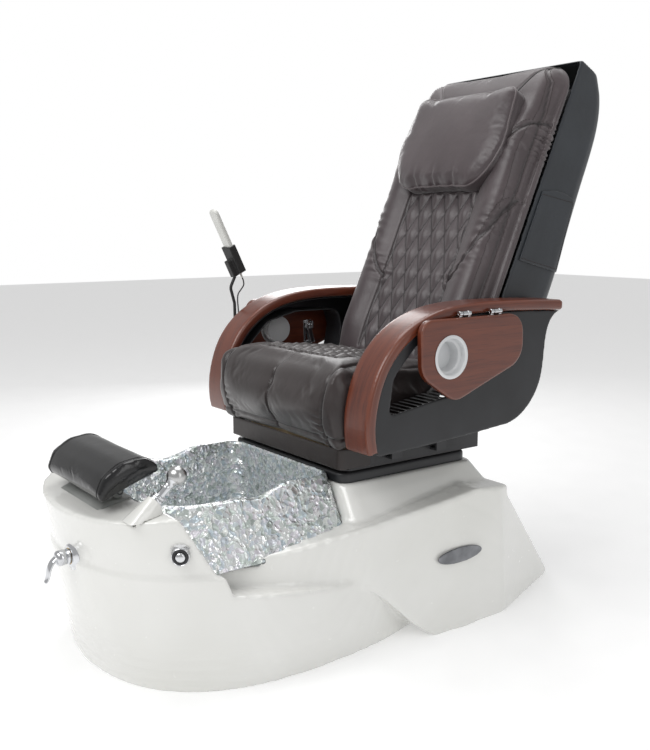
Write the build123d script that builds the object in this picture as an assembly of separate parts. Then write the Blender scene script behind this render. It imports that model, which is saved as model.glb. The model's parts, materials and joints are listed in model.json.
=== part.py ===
"""Pedicure spa chair: a massage seat on a white tub with a crystal foot bowl.

Frame: millimetres, Z up, floor at Z = 0. X = 0 is the middle plane, the
footrest end faces -Y, and +X is the sitter's left hand side.
"""
import os
from math import cos, pi, radians, sin, tan

from build123d import *

# ---------------------------------------------------------------- tub and bowl
shell_wall = 6.0
tub_half_width = 383.0          # at the deck
tub_front = -752.0
tub_foot_half_width = 355.0     # at the floor
tub_foot_front = -686.0
tub_middle = -285.0             # widest station of the front tub
tub_foot_rear = 300.0
tub_power = 2.45                # bluntness of the front end
tub_rear_power = 2.2
ledge_height = 268.0
ledge_depth = 8.0
deck_front_height = 383.0
deck_slope = 0.144
body_half_width = 397.0         # widest station of the rear body, at the floor
body_rear = 625.0
crease_front_height = 268.0
crease_slope = 0.108
rear_slope_top = (345.0, 305.0)     # Y, Z of the upper end of the sloping back

bowl_half_width = 232.0
bowl_front = tub_front + 148.0
bowl_rear = -136.0
bowl_rim_height = deck_front_height + 14.0
bowl_rim_step = 14.0            # the rim rises this much towards the seat
bowl_skirt_half_width = 312.0
bowl_skirt_foot = 262.0
bowl_wall = 7.0
bowl_lip = 17.0                 # depth of the solid lip under the rim
bowl_floor_height = 165.0
bowl_floor_half_width = 165.0

# -------------------------------------------------------- slide, seat and arms
cover_height = 26.0
cover_base = 386.0
cover_half_width = 254.0
cover_front = -131.0
cover_rear = 292.0
well_half_width = 190.0
slide_axis_z = 397.0
slide_bar_x = 150.0
slide_bar_radius = 8.0
slide_ends = (-109.0, 271.0)    # Y of the two end blocks of each bar
rod_radius = 5.0
frame_bottom = 415.0
frame_top = 461.0
frame_front = -120.0
frame_rear = 352.0
frame_sheet = 3.0
seat_half_width = 264.0
seat_base = 474.0
seat_top = 666.0
seat_front = -172.0
back_half_width = 267.0
arm_inner = max(seat_half_width + 12.0, back_half_width + 9.0)
arm_outer = arm_inner + 95.0
rail_thickness = 28.0
arm_shell_wall = 4.0
arm_shell_inset = 9.0

# ------------------------------------------------------------------------ trays
tray_gap = 3.0
tray_thickness = 18.0
tray_low_x = arm_outer + tray_gap
tray_axis_x = tray_low_x + tray_thickness / 2
tray_axis_height = 796.0
hinge_stations = (140.0, 247.0)
hinge_pin_radius = 3.0
hinge_knuckle_radius = 6.0
cup_y = 90.0
cup_z = 695.0
cup_ring_radius = 53.0
cup_mouth_radius = 44.0
cup_bore_radius = 36.0
cup_bore_depth = 30.0
cup_wall = 3.0

# ------------------------------------------------------------- remote and neck
remote_width, remote_thickness, remote_length = 38.0, 14.0, 205.0
remote_gap = 0.5
remote_tail = 18.0              # strain relief below the handset
key_heights = (172.0, 150.0, 128.0)
key_radius = 6.0
key_travel = 1.2
neck_radius = 4.6
cable_radius = 2.0
gland_radius = 4.5

# ------------------------------------------------------------------------- back
back_angle = 24.38
back_foot = (278.0, 617.0)      # Y, Z of the lower end of the front seam
back_length = 904.0
back_wall = 5.0
back_pivot = (300.0, 500.0)
pivot_radius = 8.0
lever_length = 60.0
recline_range = 35.0
running_fit = 0.06
frame_bar_x = back_half_width - 39.0
roller_radius = 28.0
roller_axis_w = 58.0
massage_rail_x = 95.0
massage_rail_w = 112.0
massage_rail_radius = 6.0
carriage_rest = 140.0

# --------------------------------------------------------------- water and feet
mixer_x, mixer_z = 40.0, 276.0
mixer_body_radius = 19.0
union_reach = 40.0
hub_height = 30.0
button_x, button_z = 302.0, 323.0
button_radius = 11.2
bezel_radius = 14.0
spray_x, spray_y = 236.0, tub_front + 104.0
spray_lean = 48.0
spray_neck_radius = 9.0
spray_ball_radius = 22.0
spray_ball_height = 116.0       # along the leaning axis, above the deck
spray_pedestal_height = 46.0
collar_radius = 13.0
hose_radius = 6.0
footrest_half_length = 158.0
footrest_y = tub_front + 118.0
footrest_pin_height = 22.0      # above the deck
footrest_tilt = 20.0
drain_y = bowl_front + 304.0
drain_radius = 21.0
drain_pipe_radius = 19.0
spigot_radius = 17.0
spigot_length = 26.0
pipe_x, pipe_z = -115.0, 95.0   # drain pipe's run along the floor
supply_radius = 7.0
supply_z = 135.0
inlet_radius = 10.4
jet_z = 262.0
jet_radius = 38.0
jet_shaft_radius = 4.0
service_width, service_length = 180.0, 120.0
badge_y, badge_z = 143.0, 190.0
frame_height = 70.0             # top of the steel base frame
foot_height = 40.0


def deck_z(y):
    """Height of the sloping deck at station y."""
    return deck_front_height + deck_slope * (y - tub_front)


def crease_z(y):
    """Height of the rear body's side crease at station y."""
    return crease_front_height + crease_slope * (y + 500)


def extrude_x(face_yz, x_low, x_high):
    """Pull a YZ face from x_low to x_high."""
    return Pos(x_low, 0, 0) * extrude(face_yz, x_high - x_low, dir=(1, 0, 0))


def yz_face(points, radius=0.0):
    """Closed face in the YZ plane, with one radius or one for each corner."""
    corners = [(0, y, z) for y, z in points]
    if not radius:
        return make_face(Polyline(*corners, close=True))
    return make_face(FilletPolyline(*corners, radius=radius, close=True))


def xy_face(points, z, radius):
    """Closed face at height z, with one radius or one for each corner."""
    corners = [(x, y, z) for x, y in points]
    return make_face(FilletPolyline(*corners, radius=radius, close=True))


def rod(start, end, radius):
    """Round bar between two points."""
    axis = Vector(*end) - Vector(*start)
    plane = Plane(origin=start, z_dir=axis)
    return extrude(plane * Circle(radius), axis.length)


def tube(points, radius, bend):
    """Round bar along a filleted polyline."""
    path = FilletPolyline(*points, radius=bend)
    return sweep(Plane(origin=path @ 0, z_dir=path % 0) * Circle(radius), path)


def box_between(low, high):
    """Box from its lowest to its highest corner."""
    size = [b - a for a, b in zip(low, high)]
    middle = [(a + b) / 2 for a, b in zip(low, high)]
    return Pos(*middle) * Box(*size)


def mirror_x(shape):
    """The same shape on the other side of the middle plane."""
    return mirror(shape, about=Plane.YZ)


# ------------------------------------------------------------------- base shell
def tub_outline(z, half_width, front, rear):
    """Round-ended outline of the front tub: a superellipse, blunter in front."""
    steps = 18
    points = []
    for i in range(steps):
        angle = radians(360 * i / steps)
        c, s = cos(angle), sin(angle)
        power = tub_power if s < 0 else tub_rear_power
        reach = tub_middle - front if s < 0 else rear - tub_middle
        x = half_width * abs(c) ** (2 / power) * (1 if c > 0 else -1)
        y = tub_middle + reach * abs(s) ** (2 / power) * (1 if s > 0 else -1)
        points.append((x, y, z))
    return make_face(Spline(*points, periodic=True))


def tub_size(z, inset):
    """Half width and front station of the tub skin at height z."""
    share = z / deck_z(tub_front)
    width = tub_foot_half_width + share * (tub_half_width - tub_foot_half_width)
    front = tub_foot_front + share * (tub_front - tub_foot_front)
    return width - inset, front + inset


def tub_at(z, inset, step):
    """Tub outline at height z, between its floor and deck outlines."""
    width, front = tub_size(z, inset + step)
    return tub_outline(z, width, front, tub_foot_rear - inset)


def wall_place(x, z):
    """Place on the upper front skin at X and Z, with local Z outwards."""
    width, front = tub_size(z, ledge_depth)
    reach = tub_middle - front
    y_share = (1 - (x / width) ** tub_power) ** (1 / tub_power)
    normal_x = (x / width) ** (tub_power - 1) / width
    normal_y = -(y_share ** (tub_power - 1)) / reach
    out = Vector(normal_x, normal_y, 0)
    return Plane(origin=(x, tub_middle - reach * y_share, z), x_dir=(0, 0, 1), z_dir=out).location


def front_tub(inset):
    """The blunt tub in front: lower skin, set-back upper skin, sloping deck."""
    top = deck_z(tub_middle) + 60
    lower = loft([tub_at(0, inset, 0), tub_at(ledge_height - inset, inset, 0)])
    upper = loft([tub_at(ledge_height - 40, inset, ledge_depth), tub_at(top, inset, ledge_depth)])
    deck_cut = yz_face([(-1200, 0), (-1200, deck_z(-1200) - inset), (400, deck_z(400) - inset), (400, 0)])
    upper = upper & extrude_x(deck_cut, -500, 500)
    low = bowl_front + 117 - inset
    slant = yz_face([(-1200, -50), (-1200, 600), (low - 220, 600), (low, 215), (low, -50)])
    upper = upper & extrude_x(slant, -500, 500)
    step_down = yz_face([(low, 222 - inset), (-180, 181 - inset), (400, 100), (400, 500), (low - 113, 500)])
    lower = lower - extrude_x(step_down, -500, 500)
    return lower + upper


def body_outline(z, inset, lean):
    """Rear body outline: straight sides that flare back, then a boat tail."""
    wide = body_half_width - inset - lean
    right = [(wide - 115, -510), (wide - 50, -350), (wide - 16, -120), (wide, 150), (wide - 6, 305)]
    right += [(wide - 128, body_rear - inset - 6), (0, body_rear - inset)]
    left = [(-x, y) for x, y in reversed(right[:-1])]
    radius = [20, 400, 500, 300, 60, 25, 600, 25, 60, 300, 500, 400, 20]
    return xy_face(right + left, z, radius)


def rear_body(inset):
    """The body under the seat, with a sloping top edge and a sloping back."""
    top = 380
    hull = loft([body_outline(0, inset, 0), body_outline(top, inset, 27)])
    y_top, z_top = rear_slope_top
    side = yz_face([(-560, 0), (-560, crease_z(-560) - inset), (215, crease_z(215) - inset),
                    (y_top - inset, z_top + 26 - inset), (y_top - inset, z_top - 0.39 * inset),
                    (body_rear - 1.36 * inset, 0)])
    sweep_line = Spline((0, -180, 181 + inset), (0, -105, 136 + inset), (0, -25, 62 + inset),
                        (0, 100 + inset, -20))
    under = make_face(Polyline((0, -180, 181 + inset), (0, -181, 181 - inset), (0, -487, 220 - inset),
                               (0, -620, 220 - inset), (0, -620, -20), (0, 100 + inset, -20)) + sweep_line)
    return (hull & extrude_x(side, -500, 500)) - extrude_x(under, -500, 500)


def hump(inset):
    """The pedestal that carries the seat slide."""
    foot = xy_face([(342 - inset, -150 + inset), (342 - inset, 352 - inset), (-342 + inset, 352 - inset),
                    (-342 + inset, -150 + inset)], 290, 40)
    wide = cover_half_width + 8 - inset
    front, rear = -134 + inset, 306 - inset
    crown = xy_face([(wide, front), (wide, rear), (-wide, rear), (-wide, front)], cover_base - inset, 34)
    return loft([foot, crown])


def bowl_outline(z, half_width, grow, front_radius=120.0, rear_radius=45.0):
    """Bowl outline with big front corners and small rear corners."""
    wide = half_width + grow
    front, rear = bowl_front - grow, bowl_rear + grow
    points = [(wide, front), (wide, rear), (-wide, rear), (-wide, front)]
    large, small = front_radius + grow, rear_radius + grow
    return xy_face(points, z, [large, small, small, large])


def bowl_skirt(grow):
    """Outside of the bowl, from its rim out to its foot."""
    foot = bowl_outline(bowl_skirt_foot, bowl_skirt_half_width, grow)
    top = bowl_outline(bowl_rim_height + 60, bowl_half_width - 33, grow)
    return loft([foot, top])


def make_base_shell():
    solid = tub_solid + body_solid + hump(0)
    hollow = front_tub(shell_wall) + rear_body(shell_wall) + hump(shell_wall)
    shell = solid - hollow
    shell -= bowl_skirt(1.0)
    shell -= extrude(bowl_outline(100, bowl_half_width, -4), 170)
    shell -= box_between((-well_half_width, cover_front + 9, cover_base - 20),
                         (well_half_width, cover_rear - 9, cover_base + 20))
    shell -= mixer_place * Cylinder(mixer_body_radius + 0.5, 60)
    shell -= button_place * Cylinder(bezel_radius + 0.2, 60)
    shell -= spray_place * Pos(0, 0, 5) * Cylinder(collar_radius + 0.5, 50)
    shell -= spray_place * Pos(0, 0, -17.5) * Cylinder(hose_radius + 1.5, 25)
    shell -= service_place * Box(service_width + 1, service_length + 1, 60)
    shell -= drain_place * Cylinder(drain_pipe_radius + 1, 300)
    shell -= power_place * Box(49, 28, 60)
    return shell.solids().sort_by(SortBy.VOLUME)[-1]


def make_foot_bowl():
    basin_out = loft([bowl_outline(bowl_floor_height - bowl_wall, bowl_floor_half_width, 0, 90, 60),
                      bowl_outline(bowl_rim_height + 40, bowl_half_width, -2)])
    basin_in = loft([bowl_outline(bowl_floor_height, bowl_floor_half_width, -bowl_wall, 90, 60),
                     bowl_outline(bowl_rim_height + 41, bowl_half_width, -2 - bowl_wall)])
    skirt_in = loft([bowl_outline(bowl_skirt_foot - 1, bowl_skirt_half_width, -bowl_wall),
                     bowl_outline(bowl_rim_height + 60, bowl_half_width - 33, -bowl_wall)])
    rim = bowl_rim_height
    lip = bowl_skirt(0) & box_between((-400, -700, rim - bowl_lip), (400, 0, rim + 100))
    bowl = (bowl_skirt(0) - skirt_in + lip + basin_out) - basin_in
    rise = rim + bowl_rim_step
    front = bowl_front - 16
    keep = make_face(Polyline((0, front, 100), (0, front, rim + 4), (0, -500, rim), (0, -390, rim - 4))
                     + Spline((0, -390, rim - 4), (0, -325, rim - 2), (0, -285, rise - 2), (0, -240, rise))
                     + Polyline((0, -240, rise), (0, -100, rise + 2), (0, -100, 100), (0, front, 100)))
    bowl = bowl & extrude_x(keep, -400, 400)
    bowl -= Pos(0, drain_y, bowl_floor_height) * Cylinder(drain_radius, 60)
    bowl -= jet_place * Cylinder(jet_radius, 80)
    return bowl.solids().sort_by(SortBy.VOLUME)[-1]


tub_solid = front_tub(0)
body_solid = rear_body(0)
footrest_pin_z = deck_z(footrest_y) + footrest_pin_height
footrest_z = footrest_pin_z + 25.0
mixer_place = wall_place(mixer_x, mixer_z)
button_place = wall_place(button_x, button_z)
spray_place = Pos(spray_x, spray_y, deck_z(spray_y)) * Rot(-spray_lean, 0, 0)
jet_place = Pos(0, bowl_front + 34, jet_z) * Rot(90, 0, 0)
slope_rise, slope_run = rear_slope_top[1], body_rear - rear_slope_top[0]
slope_plane = Plane(origin=(0, rear_slope_top[0] + slope_run / 2, slope_rise / 2), x_dir=(1, 0, 0),
                    z_dir=(0, slope_rise, slope_run))
service_place = slope_plane.location
drain_place = Pos(pipe_x, body_rear - 60, pipe_z) * Rot(-90, 0, 0)
power_place = service_place * Pos(150, -60, 0)

# --------------------------------------------------------- service parts of base
def make_base_frame():
    """Welded steel frame that stands on the feet and carries the seat slide."""
    frame = Part()
    front = tub_foot_front + 126
    for x in (-slide_bar_x, slide_bar_x):
        frame += box_between((x - 15, front, foot_height), (x + 15, 440, frame_height))
        for y in slide_ends:
            frame += box_between((x - 13, y - 9, frame_height), (x + 13, y + 9, slide_axis_z - 9))
    for y in (front + 15, 0, 425):
        frame += box_between((15 - slide_bar_x, y - 12, foot_height),
                             (slide_bar_x - 15, y + 12, frame_height - 4))
    return frame


def make_levelling_feet():
    """Five screw-in feet, the fifth in the middle."""
    feet = Part()
    corners = [(x, y) for x in (-slide_bar_x, slide_bar_x) for y in (tub_foot_front + 156, 410)]
    for x, y in corners + [(0, 0)]:
        feet += Pos(x, y, 5) * Cylinder(24, 10)
        feet += Pos(x, y, foot_height / 2 + 5) * Cylinder(6, foot_height - 10)
    return feet


def make_slide_cover():
    """Black moulding round the slide, with slots for the bearing blocks."""
    outer = extrude(xy_face([(cover_half_width, cover_front), (cover_half_width, cover_rear),
                             (-cover_half_width, cover_rear), (-cover_half_width, cover_front)],
                            cover_base, 30), cover_height)
    outer = chamfer(outer.faces().sort_by(Axis.Z)[-1].edges(), 4)
    inside = well_half_width + 10
    cover = outer - box_between((-inside, cover_front + 9, cover_base - 1),
                                (inside, cover_rear - 9, cover_base + cover_height - 3))
    for x in (-slide_bar_x, slide_bar_x):
        cover -= box_between((x - 14, -97, cover_base), (x + 14, 259, cover_base + 40))
    return cover - box_between((-9, 0, cover_base), (9, 215, cover_base + 40))


def make_slide_rails():
    """Two ground bars with an end block at each end."""
    rails = Part()
    for x in (-slide_bar_x, slide_bar_x):
        rails += rod((x, slide_ends[0] - 9, slide_axis_z), (x, slide_ends[1] + 9, slide_axis_z),
                     slide_bar_radius)
        for y in slide_ends:
            rails += box_between((x - 13, y - 9, slide_axis_z - 9), (x + 13, y + 9, slide_axis_z + 10))
    return rails


def make_slide_actuator():
    body = rod((0, -100, slide_axis_z), (0, 62, slide_axis_z), 10)
    body += box_between((-22, -100, slide_axis_z - 10), (22, -60, slide_axis_z + 10))
    return body - rod((0, -92, slide_axis_z), (0, 70, slide_axis_z), rod_radius + running_fit)


def make_slide_rod():
    bar = rod((0, 36, slide_axis_z), (0, 205, slide_axis_z), rod_radius)
    return bar + box_between((-7, 190, slide_axis_z - 6), (7, 205, frame_bottom))


def make_mixer_plate():
    """Round chrome plate under the tap, shaped to the tub behind."""
    plate = mixer_place * Cylinder(34, 11)
    plate = chamfer(plate.faces().sort_by(Axis.Y)[0].edges(), 2)
    return plate - mixer_place * Cylinder(mixer_body_radius, 40) - tub_solid


def make_mixer_valve():
    """Brass valve body behind the skin with its three unions."""
    valve = mixer_place * Pos(0, 0, -16) * Cylinder(mixer_body_radius, 48)
    for x, z in ((-union_reach, 0), (union_reach, 0), (0, union_reach - 2)):
        end = mixer_place * Pos(z, x, -28)
        start = mixer_place * Pos(0, 0, -28)
        valve += rod(tuple(start.position), tuple(end.position), 9)
    return valve


def make_mixer_hub():
    """Turning cap of the tap, with a slot for the lever."""
    hub = mixer_place * Pos(0, 0, 8.5 + hub_height / 2) * Cylinder(17, hub_height)
    slot = mixer_place * Pos(-6, 0, 8.5 + hub_height - 6) * Box(26, 12.6, 24.8)
    return hub - slot


def make_mixer_lever():
    """Lever blade that hangs in the hub's slot and reaches down the front."""
    knuckle = mixer_place * Pos(-4, 0, 8.5 + hub_height - 8) * Rot(90, 0, 0) * Cylinder(8, 12)
    neck = mixer_place * Pos(-6, 0, 8.5 + hub_height - 1) * Box(12, 12, 16)
    blade = mixer_place * Pos(-20, 0, 8.5 + hub_height + 8) * Rot(0, 24, 0) * Box(50, 12, 8)
    return knuckle + neck + blade


def make_supply_pipes():
    """Hot and cold pipes from the rear inlets to the valve's unions."""
    pipes = Part()
    for side in (-1, 1):
        union = mixer_place * Pos(0, -side * union_reach, -28)
        inlet = inlet_location(side) * Pos(0, 0, -28)
        x, y, z = union.position
        route = [(x, y, z), (x + side * 20, y, z), (x + side * 20, y + 20, supply_z),
                 (side * 60, y + 280, supply_z), (side * 60, 400, supply_z), tuple(inlet.position)]
        pipes += tube(route, supply_radius, 14)
    return pipes - make_mixer_valve() - make_inlet_fittings()


def inlet_location(side):
    return service_place * Pos(side * 45, 15, 0)


def make_inlet_fittings():
    """Two half-inch threaded nipples through the service panel."""
    fittings = Part()
    for side in (-1, 1):
        spot = inlet_location(side)
        fittings += spot * Cylinder(inlet_radius, 56)
        fittings += spot * Pos(0, 0, 6) * extrude(RegularPolygon(16, 6), 6)
    return fittings


def make_drain_fitting():
    """Flanged strainer body in the bowl floor."""
    floor = bowl_floor_height
    fitting = Pos(0, drain_y, floor + 1.6) * Cylinder(32, 3)
    fitting += Pos(0, drain_y, floor - 16) * Cylinder(drain_radius - 0.3, 38)
    return fitting - Pos(0, drain_y, floor) * Cylinder(16, 200)


def make_drain_pipe():
    """Drain pump and pipe from the bowl to the spigot at the back."""
    floor = bowl_floor_height
    spigot_end = body_rear - 15
    route = [(0, drain_y, floor - 35), (0, drain_y, pipe_z), (pipe_x, drain_y + 200, pipe_z),
             (pipe_x, spigot_end - spigot_length, pipe_z)]
    pipe = tube(route, drain_pipe_radius, 25)
    pipe += rod((pipe_x, spigot_end - spigot_length - 2, pipe_z), (pipe_x, spigot_end, pipe_z),
                spigot_radius)
    return pipe + Pos(pipe_x - 5, 180, pipe_z + 3) * Cylinder(45, 50)


def make_jet_housing():
    """Round whirlpool housing that plugs the hole in the front of the bowl."""
    can = jet_place * Pos(0, 0, 22) * Cylinder(jet_radius - 0.3, 60)
    can += jet_place * Pos(0, 0, -4) * Cylinder(jet_radius + 8, 8)
    can -= jet_place * Pos(0, 0, -8) * Cylinder(jet_radius - 5, 50)
    return can - jet_place * Cylinder(jet_shaft_radius + running_fit, 200)


def make_jet_impeller():
    wheel = jet_place * Pos(0, 0, 8) * Cylinder(9, 12)
    for i in range(6):
        wheel += jet_place * Rot(0, 0, 60 * i) * Pos(15, 0, 8) * Box(26, 3, 10)
    return wheel + jet_place * Pos(0, 0, 39) * Cylinder(jet_shaft_radius, 62)


def make_jet_motor():
    motor = jet_place * Pos(0, 0, 72) * Cylinder(30, 40)
    return motor - jet_place * Pos(0, 0, 60) * Cylinder(jet_shaft_radius + running_fit, 24)


def make_control_box():
    """Sealed box of the pump, light and chair controls, on the frame."""
    box = box_between((75, 40, frame_height), (245, 240, frame_height + 70))
    return fillet(box.edges().filter_by(Axis.Z), 6)


def make_power_inlet():
    inlet = power_place * Pos(0, 0, 2) * Box(58, 36, 4) + power_place * Pos(0, 0, -12) * Box(48, 27, 24)
    return inlet - power_place * Pos(0, 0, 0) * Box(24, 17, 30)


def make_service_panel():
    panel = service_place * Pos(0, 0, 0) * Box(service_width, service_length, 4)
    for side in (-1, 1):
        panel -= inlet_location(side) * Cylinder(inlet_radius + 0.4, 30)
    return panel


def make_side_badges():
    """Blank oval plates on both flanks."""
    wall = body_half_width - 27 * badge_z / 380
    plate = Pos(wall - 1, badge_y, badge_z) * Rot(0, 90, 0) * extrude(Ellipse(20, 75), 5)
    plate = plate - body_solid
    return plate + mirror_x(plate)


def make_button_bezel():
    """Black ring and label plate on the tub, with the button's barrel behind."""
    trim = button_place * Pos(0, 0, -0.8) * Cylinder(19, 10.4)
    trim += button_place * Pos(21, 0, -1) * Box(9, 34, 8.8)
    barrel = button_place * Pos(0, 0, -14) * Cylinder(bezel_radius, 34)
    return (trim - tub_solid) + barrel - button_place * Cylinder(button_radius + 0.1, 24)


def make_air_button():
    stem = button_place * Pos(0, 0, 2.5) * Cylinder(button_radius, 7)
    dome = button_place * Pos(0, 0, 6) * Sphere(button_radius)
    return stem + (dome & button_place * Pos(0, 0, 16) * Box(40, 40, 20))


def make_spray_pedestal():
    """White wedge on the deck that carries the spray socket."""
    floor = deck_z(spray_y)
    wedge = loft([xy_face([(spray_x + 26, spray_y - 36), (spray_x + 26, spray_y + 44),
                           (spray_x - 26, spray_y + 44), (spray_x - 26, spray_y - 36)], floor - 4, 12),
                  spray_place * Pos(0, 0, spray_pedestal_height)
                  * extrude(Circle(19), 0.01).faces().sort_by(Axis.Z)[-1]])
    return wedge - spray_place * Cylinder(collar_radius, 2 * spray_pedestal_height + 40) - tub_solid


def make_spray_collar():
    top = spray_pedestal_height + 16
    collar = spray_place * Pos(0, 0, (top - 19) / 2) * Cylinder(collar_radius - 0.3, top + 19)
    collar += spray_place * Pos(0, 0, top - 8) * Cylinder(collar_radius + 2, 12)
    return collar - spray_place * Pos(0, 0, 20) * Cylinder(spray_neck_radius + 0.08, 120)


def make_spray_head():
    """Chrome neck and satin ball with a flat face, crimped on its hose's first stretch."""
    height = spray_ball_height
    neck = spray_place * Pos(0, 0, height / 2 - 8) * Cylinder(spray_neck_radius, height - 16)
    swell = spray_place * Pos(0, 0, height - 24) * Cone(spray_neck_radius + 1.5, 15, 26)
    ball = spray_place * Pos(0, 0, height) * Sphere(spray_ball_radius)
    face = spray_place * Pos(0, 0, height + spray_ball_radius + 2.5) * Box(60, 60, 10)
    hose = spray_place * Pos(0, 0, -13) * Cylinder(hose_radius, 28)
    return neck + swell + (ball - face) + hose


def make_footrest_bracket():
    """Grey cast block on the deck with two ears for the cushion's pivot."""
    floor = deck_z(footrest_y)
    y = footrest_y
    block = loft([xy_face([(118, y - 66), (118, y + 36), (-118, y + 36), (-118, y - 66)], floor - 12, 10),
                  xy_face([(104, y - 34), (104, y + 28), (-104, y + 28), (-104, y - 34)], floor + 6, 8)])
    block = block - tub_solid
    for x in (-86, 86):
        ear = box_between((x - 5, footrest_y - 9, floor + 3), (x + 5, footrest_y + 9, footrest_pin_z))
        ear += Pos(x, footrest_y, footrest_pin_z) * Rot(0, 90, 0) * Cylinder(9, 10)
        block += ear
        block += Pos(x, footrest_y, footrest_pin_z) * Rot(0, 90, 0) * Cylinder(5, 34)
    return block


def make_footrest_cradle():
    """Steel plate under the cushion with lugs that turn on the ears' pins."""
    plate = Pos(0, footrest_y, footrest_z - 8) * Rot(footrest_tilt, 0, 0) * Box(230, 70, 4)
    for x in (-98.5, -73.5, 73.5, 98.5):
        lug = box_between((x - 3.5, footrest_y - 8, footrest_pin_z),
                          (x + 3.5, footrest_y + 8, footrest_z - 6))
        lug += Pos(x, footrest_y, footrest_pin_z) * Rot(0, 90, 0) * Cylinder(8, 7)
        plate += lug - Pos(x, footrest_y, footrest_pin_z) * Rot(0, 90, 0) * Cylinder(5 + running_fit, 20)
    return plate


def make_footrest_pad():
    """Saddle cushion: a padded bar with a crowned top, tipped towards the sitter."""
    section = [(-78, 4), (-70, -22), (66, -22), (78, 2), (52, 34), (0, 46), (-48, 36)]
    side = yz_face(section, [16, 12, 12, 20, 30, 60, 30])
    pad = extrude_x(side, -footrest_half_length, footrest_half_length)
    pad = Rot(footrest_tilt, 0, 0) * pad
    pad = Pos(0, footrest_y, footrest_z + 6) * pad
    slot = Box(2 * footrest_half_length + 8, 200, 4.2)
    cut = Pos(0, footrest_y, footrest_z - 8) * Rot(footrest_tilt, 0, 0) * slot
    cut += box_between((-110, footrest_y - 30, 380), (110, footrest_y + 30, footrest_z - 6))
    return (pad - cut).solids().sort_by(SortBy.VOLUME)[-1]


def make_drain_stopper():
    floor = bowl_floor_height
    cap = Pos(0, drain_y, floor + 6) * Cylinder(19, 4)
    return cap + Pos(0, drain_y, floor - 8) * Cylinder(4, 28)


# --------------------------------------------------------------- seat and arms
def make_seat_frame():
    """Pressed tray on four bearing blocks, with the back's hinge ears and the arms' brackets."""
    low, high = (-250, frame_front, frame_bottom), (250, frame_rear, frame_top)
    tray = box_between(low, high)
    tray = chamfer(tray.edges().filter_by(Axis.Z), 18)
    tray -= box_between((-250 + frame_sheet, frame_front + frame_sheet, frame_bottom + frame_sheet),
                        (250 - frame_sheet, frame_rear - frame_sheet, 600))
    for x in (-slide_bar_x, slide_bar_x):
        for y in (55, 232):
            tray += box_between((x - 11, y - 17, slide_axis_z - 9), (x + 11, y + 17, frame_bottom + 1))
        tray -= rod((x, 0, slide_axis_z), (x, 300, slide_axis_z), slide_bar_radius + running_fit)
    y, z = back_pivot
    for side in (-1, 1):
        x = side * (frame_bar_x + 11)
        ear = box_between((x - 3, y - 24, frame_bottom + 1), (x + 3, y + 24, z))
        ear += Pos(x, y, z) * Rot(0, 90, 0) * Cylinder(18, 6)
        ear += Pos(x - side * 9, y, z) * Rot(0, 90, 0) * Cylinder(pivot_radius, 22)
        tray += ear
    for y in (10, 160):
        bar = box_between((249, y, 432), (arm_inner - 2, y + 34, 438))
        bar += box_between((arm_inner - 9, y, 432), (arm_inner - 2, y + 34, 512))
        bar += box_between((arm_inner - 9, y, 504), (arm_outer - 16, y + 34, 512))
        tray += bar + mirror_x(bar)
    return tray


def make_seat_board():
    """Plywood board between the tray's rim and the cushion."""
    board = box_between((-240, frame_front, frame_top), (240, 188, seat_base))
    return fillet(board.edges().filter_by(Axis.Z), 20)


def make_seat_cushion():
    """Seat cushion: rolled front, gently falling top, back end cut for the back."""
    front, top = seat_front, seat_top
    section = [(front + 16, seat_base), (front - 4, 560), (front + 4, top - 4), (-60, top + 6),
               (237, top - 26), (192, 565), (192, seat_base)]
    cushion = extrude_x(yz_face(section, [16, 60, 36, 120, 12, 20, 8]), -seat_half_width, seat_half_width)
    return fillet(cushion.faces().filter_by(Axis.X).edges(), 7)


def make_seat_skirt():
    """Leather apron that hides the slide in front and at the sides."""
    top, low, front = seat_base - 1, 422, -138
    outer = box_between((-256, front, low), (256, -44, top))
    outer = fillet(outer.edges().filter_by(Axis.Z).sort_by(Axis.Y)[:2], 16)
    inner = box_between((-253, front + 3, low - 1), (253, 0, top + 1))
    return outer - fillet(inner.edges().filter_by(Axis.Z).sort_by(Axis.Y)[:2], 13)


def rail_curve(shift=0.0):
    """Centre line of the wooden arm rail, moved inwards by shift."""
    half = rail_thickness / 2 + shift
    start = (-140 + half, 484)
    points = [start, (-147 + half, 545), (-136 + half * 0.97, 612), (-112 + half * 0.86, 676 - half * 0.5),
              (-74 + half * 0.7, 727 - half * 0.72), (-28 + half * 0.5, 764 - half * 0.87),
              (50 + half * 0.3, 799 - half * 0.96), (140 + half * 0.1, 815 - half),
              (250, 819 - half), (380, 817 - half), (516, 811 - half)]
    return Spline(*[(0, y, z) for y, z in points])


def make_arm_rail():
    """Bent wooden rail: a rounded flat section swept along the arm's curve."""
    path = rail_curve()
    middle = (arm_inner + arm_outer) / 2
    plane = Plane(origin=path @ 0, x_dir=(1, 0, 0), z_dir=path % 0)
    section = plane * RectangleRounded(arm_outer - arm_inner, rail_thickness, 8)
    rail = Pos(middle, 0, 0) * sweep(section, path)
    end_cut = yz_face([(503, 830), (527, 780), (600, 780), (600, 830)])
    return rail - extrude_x(end_cut, 0, 500)


def arm_outline(inset):
    """Boundary of the black arm shell, under the rail, moved inwards by inset."""
    curve = rail_curve(rail_thickness / 2 + 1.0 + inset)
    start, end = curve @ 0, curve @ 1
    i = inset
    lower = Polyline(start, (0, start.Y + 6, 474 + i), (0, 60, 480 + i), (0, 225, 490 + i),
                     (0, 300 - i, 496 + i))
    rear = Spline((0, 300 - i, 496 + i), (0, 395 - i, 530 + i), (0, 444 - i, 595), (0, 460 - i, 690),
                  (0, 481 - i, 760), end)
    return make_face(curve + rear + lower)


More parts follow.
